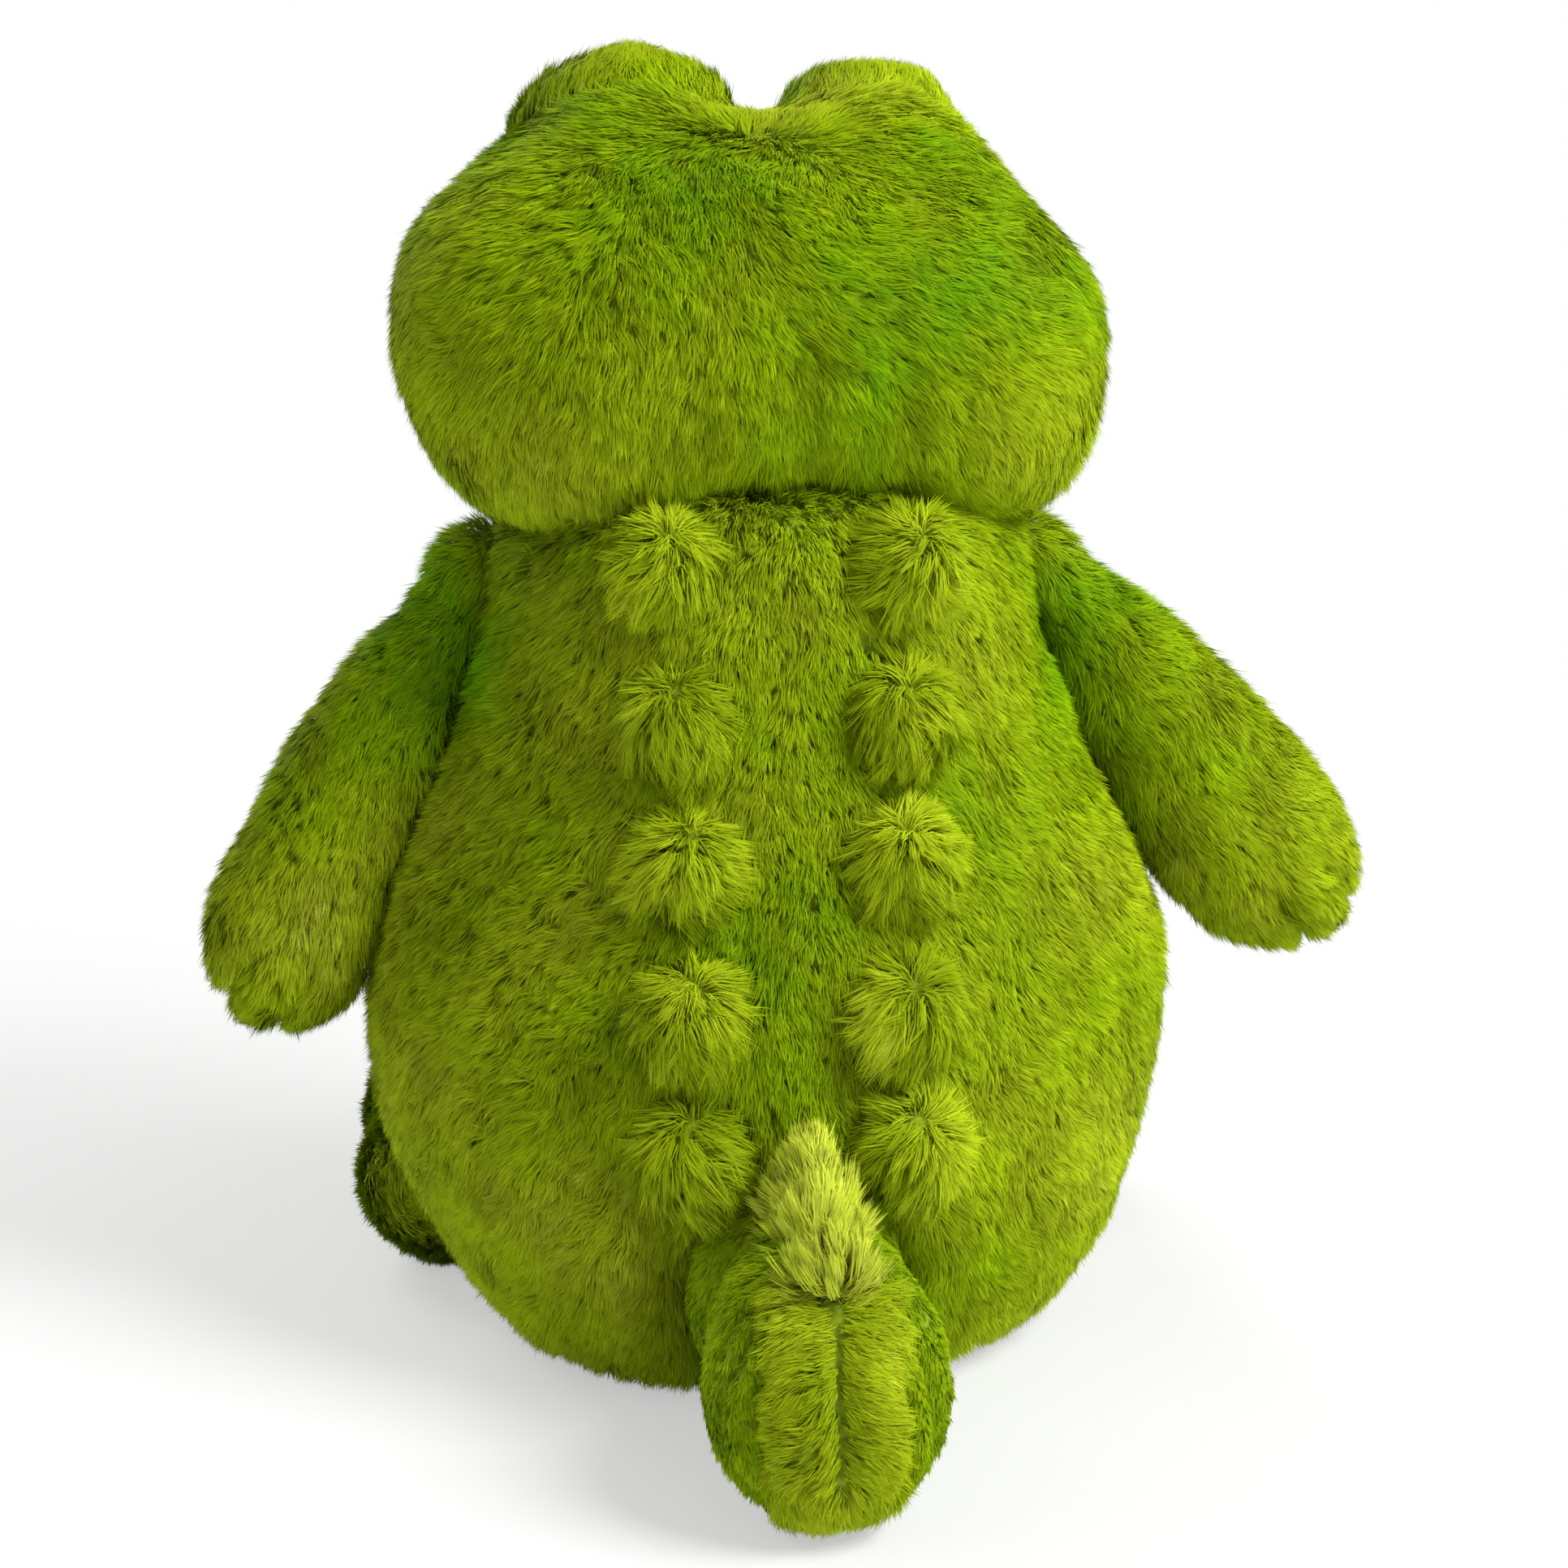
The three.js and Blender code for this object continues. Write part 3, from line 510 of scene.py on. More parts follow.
def grow(skin, groom, hue, length, density=3.7, lift=(56, 24), spread=2.1 * MM, stray=0.45 * MM, wander=1.0,
         without=(), lock=10, pull=LOCK_PULL, vary=(0.9, 1.06), trim=None, shades=PAINTED_ROOT_SHADES):
    """Strands in locks on a skin: the corners of each, the shading direction there and the palette place.

    groom gives the way the pile is combed at a place and by how many degrees it stands up more than
    lift says, before and after the bend. hue gives its place across the palette. density counts strands
    on a square millimetre. lock is the strands in a lock and spread its radius, stray is how far tips
    stray, and wander how far locks turn out of their lie. without lists tests of the places left bare.
    vary holds the least and the greatest share of the length. trim gives the share that a lock keeps.
    """
    root, way = skin.sample(int(skin.areas.sum() / MM ** 2 * density / lock))
    for test in without:
        bare = test(root, way)
        root, way = root[~bare], way[~bare]
    comb, line = lock_lines(root, way, groom, length, lift, wander, vary, trim)
    member = np.repeat(np.arange(len(root)), lock)
    strands = len(member)
    out = np.sqrt(rng.uniform(size=strands))
    spin = rng.uniform(0, 2 * math.pi, strands)
    border = out * np.sin(spin)
    aside = np.cross(way, comb)[member]
    offset = spread * ((out * np.cos(spin))[:, None] * comb[member] + border[:, None] * aside)
    loose = rng.normal(0, stray, (strands, 3)) * rng.choice(STRAY_KINDS, (strands, 1), p=STRAY_ODDS)
    lengths = rng.uniform(*STRAND_LENGTHS, (strands, 1, 1))
    points = (root - ROOT_SINK * way)[member][:, None] + line[member] * lengths
    points += offset[:, None] * (1 - pull)[None, :, None] + loose[:, None] * STRAY_SHARE[None, :, None]
    points[:, :, 2] = np.maximum(points[:, :, 2], FLOOR_CLEAR)
    corners, shading = strand_corners(points, way[member], aside, border)
    return corners, shading, strand_palette(root, member, border, hue, shades)


def pile(name, grown, body, material=GREEN_PILE):
    """Flat strands, pointed at both ends, as one or more pieces that ride on the body."""
    corners, shading, palette = (np.concatenate(parts) for parts in zip(*grown))
    parts = math.ceil(len(corners) * STRAND_FACES / MOST_FACES)
    order = np.argsort(np.arctan2(corners[:, 3, 0], corners[:, 3, 1]), kind="stable")
    for part, pick in enumerate(np.array_split(order, parts)):
        first = np.arange(len(pick))[:, None]
        loops = (len(CORNER_STEPS) * first + STRAND_LOOPS).ravel()
        starts = 3 * np.arange(len(pick) * STRAND_FACES)
        label = name if parts == 1 else f"{name}_{part + 1}"
        made = new_object(label, corners[pick].reshape(-1, 3), loops, starts, material,
                          palette[pick].reshape(-1, 2), shading[pick].reshape(-1, 3))
        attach(made, body)


# Places left bare

FACING_DOWN = -0.75
UNDER_SHARE = 0.2


def inside(skin, depth):
    return lambda places, ways: skin.holds(places, depth)


def around(centre, radius):
    return lambda places, ways: np.linalg.norm(places - centre, axis=1) < radius


def under(places, ways):
    """Most of what faces the floor."""
    return (ways[:, 2] < FACING_DOWN) & (rng.uniform(size=len(places)) > UNDER_SHARE)


def front_of(skin, reach):
    """Places in front that the surface covers."""
    return lambda places, ways: (places[:, 1] < 0) & (skin.away(places) < reach)


# Grooming: the way that pile is combed, and by how many degrees it stands up more

RUFFLE_START = 22 * MM  # from the middle
RUFFLE_SPAN = 26 * MM
RUFFLE_TOP = 0.25
RUFFLE_ASIDE = 1.1
RUFFLE_DOWN = 0.9
RUFFLE_STAND = 12
RUFFLE_WAVE = 10
OUTWARD = 0.5
OUTWARD_REACH = 60 * MM
BAND_REACH = 26 * MM  # of the pile between the two rows of spikes
BAND_ASIDE = 0.8
AT_HEAD_REACH = 11 * MM
STANDING = 10


def ruffled_side(places):
    """1 on the toy's left, where its pile is pressed out of its lie, down to 0 at the middle."""
    return np.clip((places[:, 0] - RUFFLE_START) / RUFFLE_SPAN, 0, 1) * (places[:, 2] < RUFFLE_TOP)


def trunk_comb(places, ways):
    """Down and outward, standing between the two rows of spikes and against the head."""
    aside = places[:, 0]
    flow = np.zeros_like(places)
    flow[:, 0] = OUTWARD * np.sign(aside) * np.minimum(np.abs(aside) / OUTWARD_REACH, 1)
    flow[:, 2] = -1
    band = np.exp(-(aside / BAND_REACH) ** 2) * (places[:, 1] > 0)
    rough = ruffled_side(places)
    flow[:, 0] += rough * RUFFLE_ASIDE * TWISTS(places) + BAND_ASIDE * band * LOCKS(places)
    flow[:, 2] += rough * RUFFLE_DOWN * CURLS(places)
    at_head = np.exp(-(scalp.away(places) / AT_HEAD_REACH) ** 2)
    ruffle = rough * (RUFFLE_STAND + RUFFLE_WAVE * CURLS(places))
    return flow, STANDING * band + STANDING * at_head + ruffle


# How the pile lies on the back of the head: a pixel of the photograph, then across and down the picture
HEAD_STROKES = [
    (560, 340, -1.0, 0.4), (515, 440, -0.8, 0.7), (530, 540, -0.3, 1.0), (600, 600, -0.1, 1.0),
    (620, 260, -0.9, 0.3), (640, 400, -0.5, 0.8), (640, 500, -0.1, 1.0), (750, 380, 0.4, 0.9),
    (700, 300, -0.6, 0.6), (800, 260, 0.2, 0.8), (860, 340, 0.3, 0.9), (760, 480, 0.0, 1.0),
    (650, 130, -0.7, -0.6), (700, 80, -0.3, -1.0), (790, 85, 0.2, -1.0), (760, 150, -0.6, -0.2),
    (865, 115, 0.1, -1.0), (830, 200, -0.2, 0.8), (930, 150, 0.0, -1.0), (930, 215, 0.1, 0.9),
    (1000, 250, 0.1, 1.0), (1000, 110, 0.0, -1.0), (1070, 90, 0.1, -1.0), (1140, 120, 0.6, -0.7),
    (1080, 170, 0.6, 0.2), (1180, 190, 0.9, -0.1), (960, 340, 0.3, 0.9), (1060, 370, 1.0, 0.35),
    (1160, 400, 1.0, 0.35), (1130, 280, 0.9, 0.2), (1250, 320, 0.9, 0.2), (1260, 240, 0.8, -0.2),
    (1320, 390, 0.9, 0.4), (1240, 480, 0.7, 0.7), (1340, 480, 0.7, 0.8), (1300, 570, 0.4, 0.9),
    (900, 470, 0.0, 1.0), (1000, 500, 0.15, 1.0), (1100, 520, 0.3, 1.0), (820, 570, 0.0, 1.0),
    (1180, 590, 0.25, 1.0),
]
STROKE_REACH = 17 * MM
UNSTROKED = 0.02  # weight of the lie where no stroke is near
SNOUT_TIP = vec(0, -0.15, 0.27)
BRUSHED_UP = vec(0, 0, 0.2)
BRUSHED_DOWN = vec(0, 0, -1.2)
CHEEK_FRONT = -0.04  # along Y
CHEEK_DEPTH = 0.04
CHEEK_START = 0.05  # from the middle
CHEEK_SPAN = 0.03
HEAD_RUFFLE = 8
PARTING_STAND = 30  # where strokes lead apart
TOP_FLATTER = 24


def head_comb(places, ways):
    """Brushed back from the snout in front, down at the sides, and by the strokes on the back."""
    cheeks = np.clip((places[:, 1] - CHEEK_FRONT) / CHEEK_DEPTH, 0, 1)
    cheeks = cheeks * np.clip((np.abs(places[:, 0]) - CHEEK_START) / CHEEK_SPAN, 0, 1)
    from_snout = unit(places - SNOUT_TIP) + BRUSHED_UP
    flow = UNSTROKED * (from_snout + cheeks[:, None] * (BRUSHED_DOWN - from_snout))
    total = np.full(len(places), UNSTROKED)
    for column, row, across, down in HEAD_STROKES:
        at = scalp.seen((column, row))
        if at is not None:
            share = nearness(places, at, STROKE_REACH)
            flow = flow + share[:, None] * unit(np.array(CAMERA_RIGHT * across - CAMERA_UP * down))
            total = total + share
    parting = 1 - np.linalg.norm(flow, axis=1) / total
    top = np.clip(ways[:, 2], 0, 1)
    return flow, HEAD_RUFFLE * LOCKS(places) + PARTING_STAND * parting - TOP_FLATTER * top


def away_from(centre, pull=(0, 0, 0)):
    def comb(places, ways):
        return unit(places - centre) + np.array(pull), np.zeros(len(places))
    return comb


def along(direction):
    def comb(places, ways):
        return np.broadcast_to(np.array(direction, float), places.shape), np.zeros(len(places))
    return comb


SOLE_EDGE = 0.75  # how far a place faces along the leg where the sole begins
SOLE_STAND = 44


def foot_comb(centre, axis):
    """Back from the sole all round, standing straight in its middle."""
    def comb(places, ways):
        sole = np.clip((ways @ axis - SOLE_EDGE) / (1 - SOLE_EDGE), 0, 1)
        return unit(places - centre), SOLE_STAND * sole
    return comb


# Hues, as places across the palette

GREEN_SPOTS = [  # centre and radius
    ((0.0, 0.10, 0.21), 0.030), ((0.0, 0.11, 0.16), 0.030), ((0.0, 0.11, 0.11), 0.030),
    ((-0.03, 0.06, 0.345), 0.045), ((0.02, 0.05, 0.36), 0.04),
    ((0.10, 0.0, 0.225), 0.045), ((-0.10, 0.0, 0.225), 0.045),
]
PLUSH_HUE = 0.51
RUFFLE_HUE = 0.07
PATCH_GREEN = 0.16
FLECK_GREEN = 0.08
SPOT_GREEN = 0.30
LUMP_HUE = 0.1
DAPPLE_HUE = 0.07


def plush_hue(places):
    spots = np.max([nearness(places, *spot) for spot in GREEN_SPOTS], axis=0)
    green = PATCH_GREEN * PATCHES(places) + FLECK_GREEN * FLECKS(places) + SPOT_GREEN * spots
    ruffled = RUFFLE_HUE * ruffled_side(places)
    return PLUSH_HUE + ruffled - green + LUMP_HUE * LUMPS(places) + DAPPLE_HUE * DAPPLES(places)


def mottled_hue(hue, flecks, dapples=0):
    return lambda places: hue + flecks * FLECKS(places) + dapples * DAPPLES(places)


tuft_hue = mottled_hue(0.56, flecks=0.12, dapples=0.08)
crest_hue = mottled_hue(0.92, flecks=0.06)
tail_hue = mottled_hue(0.36, flecks=0.12, dapples=0.08)
panel_hue = mottled_hue(0.60, flecks=0.14)


# Places and pieces

def joint_at(name):
    return np.array(next(j["pos_m"] for j in frame["joints"] if j["name"] == name), float)


def corners_of(node):
    return np.array([v.co for v in frame["nodes"][node].data.vertices], float)


def middle(node):
    low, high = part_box(node)
    return np.array((low + high) / 2)


def soft_piece(name, node, skin, material, body):
    """A padded piece that stands for a CAD solid."""
    made = skin_object(name, skin, material)
    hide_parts(node)
    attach(made, body)


def cover(node, skin, body, material=BACK_CLOTH):
    soft_piece(node + "_backing", node, skin, material, body)


def filling(node, skin, body, material=FIBRE):
    """Lumpy fibre, or a bag."""
    soft_piece(node + "_soft", node, skin, material, body)


def shaped(spots):
    return lambda points, out: points + swell(points, spots)[:, None] * out


def moved_by(step):
    return lambda points, out: points + step


ROUND_HALF_LINE = vec(0, 0, 0.5 * MM)


def wrap_about(node, centre, half_line, rings, sectors, inset, smooth, shape):
    return wrap(node, centre - half_line, centre + half_line, rings, sectors, inset, smooth, shape)


def round_skin(node, centre, rings=28, sectors=36, inset=SKIN_INSET, shape=None):
    return wrap_about(node, centre, ROUND_HALF_LINE, rings, sectors, inset, smooth=1, shape=shape)


# Trunk and head

INNER_INSET = 2 * MM  # of fillings and of the spikes' cores
THIN_INSET = 1 * MM
TRUNK_SPOTS = [  # centre, radius, height
    ((-0.118, 0.0, 0.125), 0.055, 7 * MM),
    ((0.084, -0.006, 0.236), 0.026, 4 * MM), ((-0.084, -0.006, 0.236), 0.026, 4 * MM),
    ((0.102, 0.020, 0.030), 0.044, -8 * MM),
]
NECK_SPOTS = [  # on the cover alone, so that the stuffing leaves room for the turning head
    ((0.074, 0.0, 0.252), 0.020, 6 * MM), ((-0.074, 0.0, 0.252), 0.020, 6 * MM),
    ((0.0, 0.066, 0.250), 0.036, 11 * MM),
    ((0.048, 0.048, 0.248), 0.030, 10 * MM), ((-0.048, 0.048, 0.248), 0.030, 10 * MM),
]
HEAD_SPOTS = [
    ((-0.096, 0.0, 0.352), 0.032, -9 * MM), ((-0.104, 0.0, 0.315), 0.030, -2 * MM),
    ((0.104, 0.0, 0.320), 0.045, 3 * MM), ((0.088, 0.0, 0.352), 0.022, 3 * MM),
    ((0.040, -0.008, 0.366), 0.030, 14 * MM), ((-0.040, -0.008, 0.366), 0.028, 13 * MM),
    ((0.018, 0.066, 0.268), 0.032, -9 * MM), ((-0.030, 0.066, 0.268), 0.032, -9 * MM),
]
DOME_SPOTS = {
    "left": [((0.075, -0.037, 0.360), 0.022, -2 * MM), ((0.034, -0.037, 0.386), 0.026, 4 * MM),
             ((0.010, -0.037, 0.366), 0.020, 7 * MM)],
    "right": [((-0.072, -0.037, 0.365), 0.026, -6 * MM)],
}
TRUNK_ABOVE_SEAT = 0.062  # ends of the line in its middle
TRUNK_BELOW_TOP = 0.085
TRUNK_GRID = (64, 96)  # rings and sectors
HEAD_BELOW_TOP = 0.058
HEAD_HALF_LINE = vec(0.045, 0, 0)
HEAD_GRID = (72, 80)
SNOUT_FORWARD = vec(0, 0.01, 0)
SNOUT_HALF_LINE = vec(0.02, 0, 0)
SNOUT_GRID = (44, 48)


def trunk_skin(node, inset, spots):
    low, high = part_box(node)
    start, end = vec(0, 0, low.z + TRUNK_ABOVE_SEAT), vec(0, 0, high.z - TRUNK_BELOW_TOP)
    return wrap(node, start, end, *TRUNK_GRID, inset, shape=shaped(spots))


def head_skin(node, inset=SKIN_INSET):
    centre = vec(0, 0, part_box(node)[1].z - HEAD_BELOW_TOP)
    return wrap_about(node, centre, HEAD_HALF_LINE, *HEAD_GRID, inset, SMOOTH, shaped(HEAD_SPOTS))


def snout_skin(node, inset=SKIN_INSET):
    centre = middle(node) - SNOUT_FORWARD
    return wrap_about(node, centre, SNOUT_HALF_LINE, *SNOUT_GRID, inset, SMOOTH, shaped([]))


def dome_skin(side, node, inset=SKIN_INSET):
    low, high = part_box(node)
    centre = vec((low.x + high.x) / 2, (low.y + high.y) / 2, high.z - (high.x - low.x) / 2)
    return round_skin(node, centre, inset=inset, shape=shaped(DOME_SPOTS[side]))


trunk = trunk_skin("trunk_cover", SKIN_INSET, TRUNK_SPOTS + NECK_SPOTS)
head = head_skin("head_cover")
snout = snout_skin("snout_cover")
domes = {side: dome_skin(side, f"{side}_eye_dome") for side in SIDES}
scalp = merged([head, snout, *domes.values()])
panel_faces = [tuple(p.vertices) for p in frame["nodes"]["belly_panel"].data.polygons]
panel = Skin(corners_of("belly_panel"), panel_faces)
cover("trunk_cover", trunk, "trunk")
cover("head_cover", head, "head")
cover("snout_cover", snout, "head")

SPIKE_ROWS = range(1, 6)
PLUSH_PILE = 9 * MM
HEAD_PILE = 9.5 * MM
NECK_OVERLAP = 9 * MM  # how deep pile still grows inside the neighbour
PANEL_REACH = 3.4 * MM  # around the belly panel
BARE_RADIUS = 11 * MM  # around a spike or an eye
NECK_LONGER = 0.45
NECK_REACH = 13 * MM


def over_seam(places):
    """Longer near the trunk, so that the head's pile hangs over the neck's seam."""
    return 1 + NECK_LONGER * np.exp(-(trunk.away(places) / NECK_REACH) ** 2)


spikes = {side: [f"back_spike_{side}_{row}" for row in SPIKE_ROWS] for side in SIDES}
bare_trunk = [inside(scalp, NECK_OVERLAP), under, front_of(panel, PANEL_REACH)]
bare_trunk += [around(middle(node), BARE_RADIUS) for side in SIDES for node in spikes[side]]
bare_head = [inside(trunk, NECK_OVERLAP)]
bare_head += [around(middle(f"{side}_eye"), BARE_RADIUS) for side in SIDES]
pile("trunk_pile", [grow(trunk, trunk_comb, plush_hue, PLUSH_PILE, without=bare_trunk)], "trunk")
made = skin_object("scalp_backing", scalp, BACK_CLOTH)
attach(made, "head")
pile("head_pile", [grow(scalp, head_comb, plush_hue, HEAD_PILE, without=bare_head, trim=over_seam)], "head")


# Belly panel

BELLY_STYLE = dict(length=8 * MM, density=5)
FACING_BACK = 0.3


def panel_back(places, ways):
    return ways[:, 1] > FACING_BACK


cover("belly_panel", panel, "trunk", material=PALE_CLOTH)
hair = grow(panel, along((0, 0, -1)), tuft_hue, without=[panel_back], **BELLY_STYLE)
pile("belly_panel_pile", [hair], "trunk", BELLY_PILE)


# Eyes and nostrils

EYE_TURN = math.radians(20)
EYE_LIFT = math.radians(28)
EYE_BULGE = 6.5 * MM
EYE_STEPS = 14
EYE_SECTORS = 48
EYE_UNDERSIDE = 0.9  # of its radius
EYE_POLE = 0.03
STEM_POINT = 0.6  # of its radius
STEM_CHAMFER = 0.6 * MM
STEM_END = 1 * MM
DOME_STUFFING_INSET = 1.5 * MM
NOSTRIL_STYLE = dict(length=5.5 * MM, density=6, lift=(40, 10))
NOSTRIL_PARTING = vec(0, -0.012, 0.004)  # from its middle
TUFT_GRID = (12, 16)


def turned(profile, place, axis):
    """A surface turned around an axis from (radius, height) steps."""
    side = unit(np.cross(axis, vec(0, 0, 1)))
    across = np.cross(axis, side)
    turn = np.arange(EYE_SECTORS) * 2 * math.pi / EYE_SECTORS
    ring = np.cos(turn)[:, None] * side + np.sin(turn)[:, None] * across
    points = np.concatenate([place + height * axis + radius * ring for radius, height in profile])
    return Skin(points, grid_faces(len(profile), EYE_SECTORS))


def safety_eye(node, sign):
    """A glossy dome on its stem, where the CAD eye is."""
    axis = vec(sign * math.sin(EYE_TURN) * math.cos(EYE_LIFT), -math.cos(EYE_TURN) * math.cos(EYE_LIFT),
               math.sin(EYE_LIFT))
    points = corners_of(node)
    heights = points @ axis
    low, high = heights.min(), heights.max()
    spans = points - heights[:, None] * axis
    at_end = heights < low + STEM_END
    centre = spans[at_end].mean(0)
    widest = np.linalg.norm(spans - centre, axis=1).max()
    stem = np.linalg.norm(spans - centre, axis=1)[at_end].max()
    rim = high - EYE_BULGE
    profile = [(stem * STEM_POINT, low), (stem, low + STEM_CHAMFER)]
    profile += [(stem, rim - STEM_CHAMFER), (widest * EYE_UNDERSIDE, rim - STEM_CHAMFER)]
    arc = np.linspace(0, math.pi / 2, EYE_STEPS)
    profile += [(widest * math.cos(u), rim + EYE_BULGE * math.sin(u)) for u in arc[:-1]]
    profile += [(widest * EYE_POLE, high)]
    made = skin_object(node + "_dome", turned(profile, centre, axis), EYE)
    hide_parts(node)
    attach(made, "head")


def make_face(side, sign):
    """An eye dome, its eye and its stuffing, and a nostril."""
    cover(f"{side}_eye_dome", domes[side], "head")
    safety_eye(f"{side}_eye", sign)
    node = f"{side}_nostril"
    bump = round_skin(node, middle(node), *TUFT_GRID, THIN_INSET)
    cover(node, bump, "head")
    flow = away_from(middle(node) + NOSTRIL_PARTING)
    pile(node + "_pile", [grow(bump, flow, plush_hue, **NOSTRIL_STYLE)], "head")
    node = f"{side}_eye_dome_stuffing"
    filling(node, dome_skin(side, node, DOME_STUFFING_INSET), "head")


# Arms and legs

LIMB_SPOTS = {  # centre, radius, height
    "left_leg": [((0.110, -0.044, 0.030), 0.027, 10 * MM)],
    "right_leg": [((-0.110, -0.044, 0.030), 0.027, 10 * MM)],
    "left_arm": [((0.108, -0.006, 0.240), 0.020, -4 * MM), ((0.082, -0.006, 0.249), 0.016, 7 * MM),
                 ((0.130, -0.006, 0.100), 0.026, 5 * MM)],
    "right_arm": [((-0.108, -0.006, 0.244), 0.020, -2 * MM), ((-0.078, -0.006, 0.246), 0.016, 6 * MM),
                  ((-0.134, -0.006, 0.122), 0.034, 5 * MM), ((-0.112, -0.006, 0.152), 0.026, 4 * MM)],
}
LIMB_GRID = (64, 56)
ARM_FULL = 0.104  # from the joint to where the hand is full, and to its line's end
ARM_REACH = 0.112
ARM_RADIUS = 10 * MM  # the least between the joint and there
LEG_REACH = 0.048
LEG_RADIUS = 25.5 * MM
FOOT_AHEAD = 0.012  # past the leg's line, where the foot's pile parts
FILLING_CLEAR = 4 * MM
JOINT_OVERLAP = 8 * MM  # how deep pile still grows inside the trunk
GROOVE_SPREAD = 8.5 * MM
GROOVE_WIDTH = 2.4 * MM
GROOVE_DEPTH = 6 * MM
GROOVE_START = 4 * MM  # past where the limb is full
GROOVE_FADE = 10 * MM
GROOVE_BARE = 0.62
ON_AXIS = 1e-6  # the least distance from the limb's line that is divided by


class Limb:
    """A limb's line from its joint to its far end, and the way across its fingers or toes."""

    def __init__(self, node, joint, full_at, reach, across):
        self.start = joint_at(joint)
        lines = corners_of(node) - self.start
        self.way = unit(lines[np.argmax(np.linalg.norm(lines, axis=1))])
        self.side = unit(np.cross(across, self.way))
        self.full_at = full_at
        self.reach = reach

    def groove(self, places):
        """How near each place is to a groove between fingers, on the limb's end only."""
        down = (places - self.start) @ self.way
        aside = np.abs((places - self.start) @ self.side)
        at_end = np.clip((down - self.full_at - GROOVE_START) / GROOVE_FADE, 0, 1)
        return at_end * np.exp(-((aside - GROOVE_SPREAD) / GROOVE_WIDTH) ** 2)

    def grooved(self, places, ways):
        return self.groove(places) > GROOVE_BARE

    def shape(self, spots, radius):
        def shape(points, out):
            points = points + swell(points, spots)[:, None] * out
            down = (points - self.start) @ self.way
            line = self.start + down[:, None] * self.way
            radial = points - line
            far = np.linalg.norm(radial, axis=1, keepdims=True)
            least = np.where((down > 0) & (down < self.full_at), radius, 0)[:, None]
            points = line + radial * np.maximum(least / np.maximum(far, ON_AXIS), 1)
            return points - (GROOVE_DEPTH * self.groove(points))[:, None] * out
        return shape

    def skin(self, node, spots, radius, inset=SKIN_INSET):
        """The limb's surface, with at least this radius between its joint and where it is full."""
        end = self.start + self.reach * self.way
        return wrap(node, self.start, end, *LIMB_GRID, inset, shape=self.shape(spots, radius))


def make_limb(body, limb, radius, flow):
    spots = LIMB_SPOTS[body]
    skin = limb.skin(f"{body}_cover", spots, radius)
    cover(f"{body}_cover", skin, body)
    bare = [inside(trunk, JOINT_OVERLAP), limb.grooved]
    pile(f"{body}_pile", [grow(skin, flow, plush_hue, PLUSH_PILE, without=bare)], body)
    inner = limb.skin(f"{body}_stuffing", spots, radius - FILLING_CLEAR, INNER_INSET)
    filling(f"{body}_stuffing", inner, body)


def make_limbs(side):
    arm = Limb(f"{side}_arm_cover", f"{side}_shoulder", ARM_FULL, ARM_REACH, vec(0, 1, 0))
    leg = Limb(f"{side}_leg_cover", f"{side}_hip", LEG_REACH, LEG_REACH, vec(0, 0, 1))
    foot = leg.start + (leg.reach + FOOT_AHEAD) * leg.way
    make_limb(f"{side}_arm", arm, ARM_RADIUS, along(arm.way))
    make_limb(f"{side}_leg", leg, LEG_RADIUS, foot_comb(foot, leg.way))


# Back spikes

# The spikes' shades are painted shade: darker at the roots, lighter at the tips
SPIKE_STYLE = dict(length=14.5 * MM, density=10, lift=(58, 14), spread=2.2 * MM, stray=0.8 * MM, wander=1.7,
                   lock=12, pull=SPIKE_PULL, vary=(0.7, 1.25), shades=np.array([0.56, 0.88, 1.10]))
SPIKE_FALL = (0, 0, -0.8)
SPIKE_LEAN = 3 * MM
APEX_OUT = 0.010  # from the spike's middle to where its pile parts
APEX_UP = vec(0, 0, 0.012)
HANG_SPAN = (-12 * MM, 12 * MM)
HANG_LENGTHS = (1.3, 0.8)


def hanging(height):
    """Longer below this height than above it."""
    return lambda places: np.interp(places[:, 2] - height, HANG_SPAN, HANG_LENGTHS)


def make_spikes(side):
    tufts = []
    for node in spikes[side]:
        centre = middle(node)
        way = trunk.way_near(centre)
        raised = swell(centre[None], TRUNK_SPOTS + NECK_SPOTS)[0] * way
        core = round_skin(node, centre, *TUFT_GRID, INNER_INSET, moved_by(raised))
        cover(node, core, "trunk")
        lean = rng.normal(0, SPIKE_LEAN, 3)
        apex = centre + raised + APEX_OUT * way + APEX_UP + lean
        flow = away_from(apex, SPIKE_FALL)
        tufts.append(grow(core, flow, tuft_hue, trim=hanging(centre[2]), **SPIKE_STYLE))
    pile(f"back_spikes_{side}_pile", tufts, "trunk")


for side, sign in SIDES.items():
    make_face(side, sign)
    make_limbs(side)
    make_spikes(side)


# Tail

TAIL_TALLER = ((0.12, 0.15, 0.18), (0.40, 0.20, 0.0))  # share of the height added, by how far back
TAIL_FOLDS = (0.1600, 0.1690, 0.1772)  # along Y
FOLD_WIDTH = 2.3 * MM
FOLD_DEPTH = 5.5 * MM
FOLD_WAVE = 2.5 * MM
FOLD_BARE = 0.7
PANEL_SIDE = 16.5 * MM
PANEL_TOP = 0.074
PANEL_WAVE = 0.08
PANEL_SHARPNESS = 6
PANEL_RUFFLE = 10  # degrees
SEAM_WIDTH = 2.5 * MM
SEAM_DEPTH = 2.0 * MM
SEAM_END = 0.026  # height where the sewn line stops
SEAM_FACING = 0.55
SEAM_BARE = 0.6 * MM
PARTED_BELOW = 10 * MM  # the sewn line's end, where the pile begins to part
PARTED_SPAN = 16 * MM
PARTED_LIFT = 0.65
TAIL_GRID = (140, 72)
TAIL_LINE = vec(0, 0.068, 0)
TAIL_INNER_LINE = vec(0, 0.062, 0)
TAIL_LIE = (0, -0.15, -1)
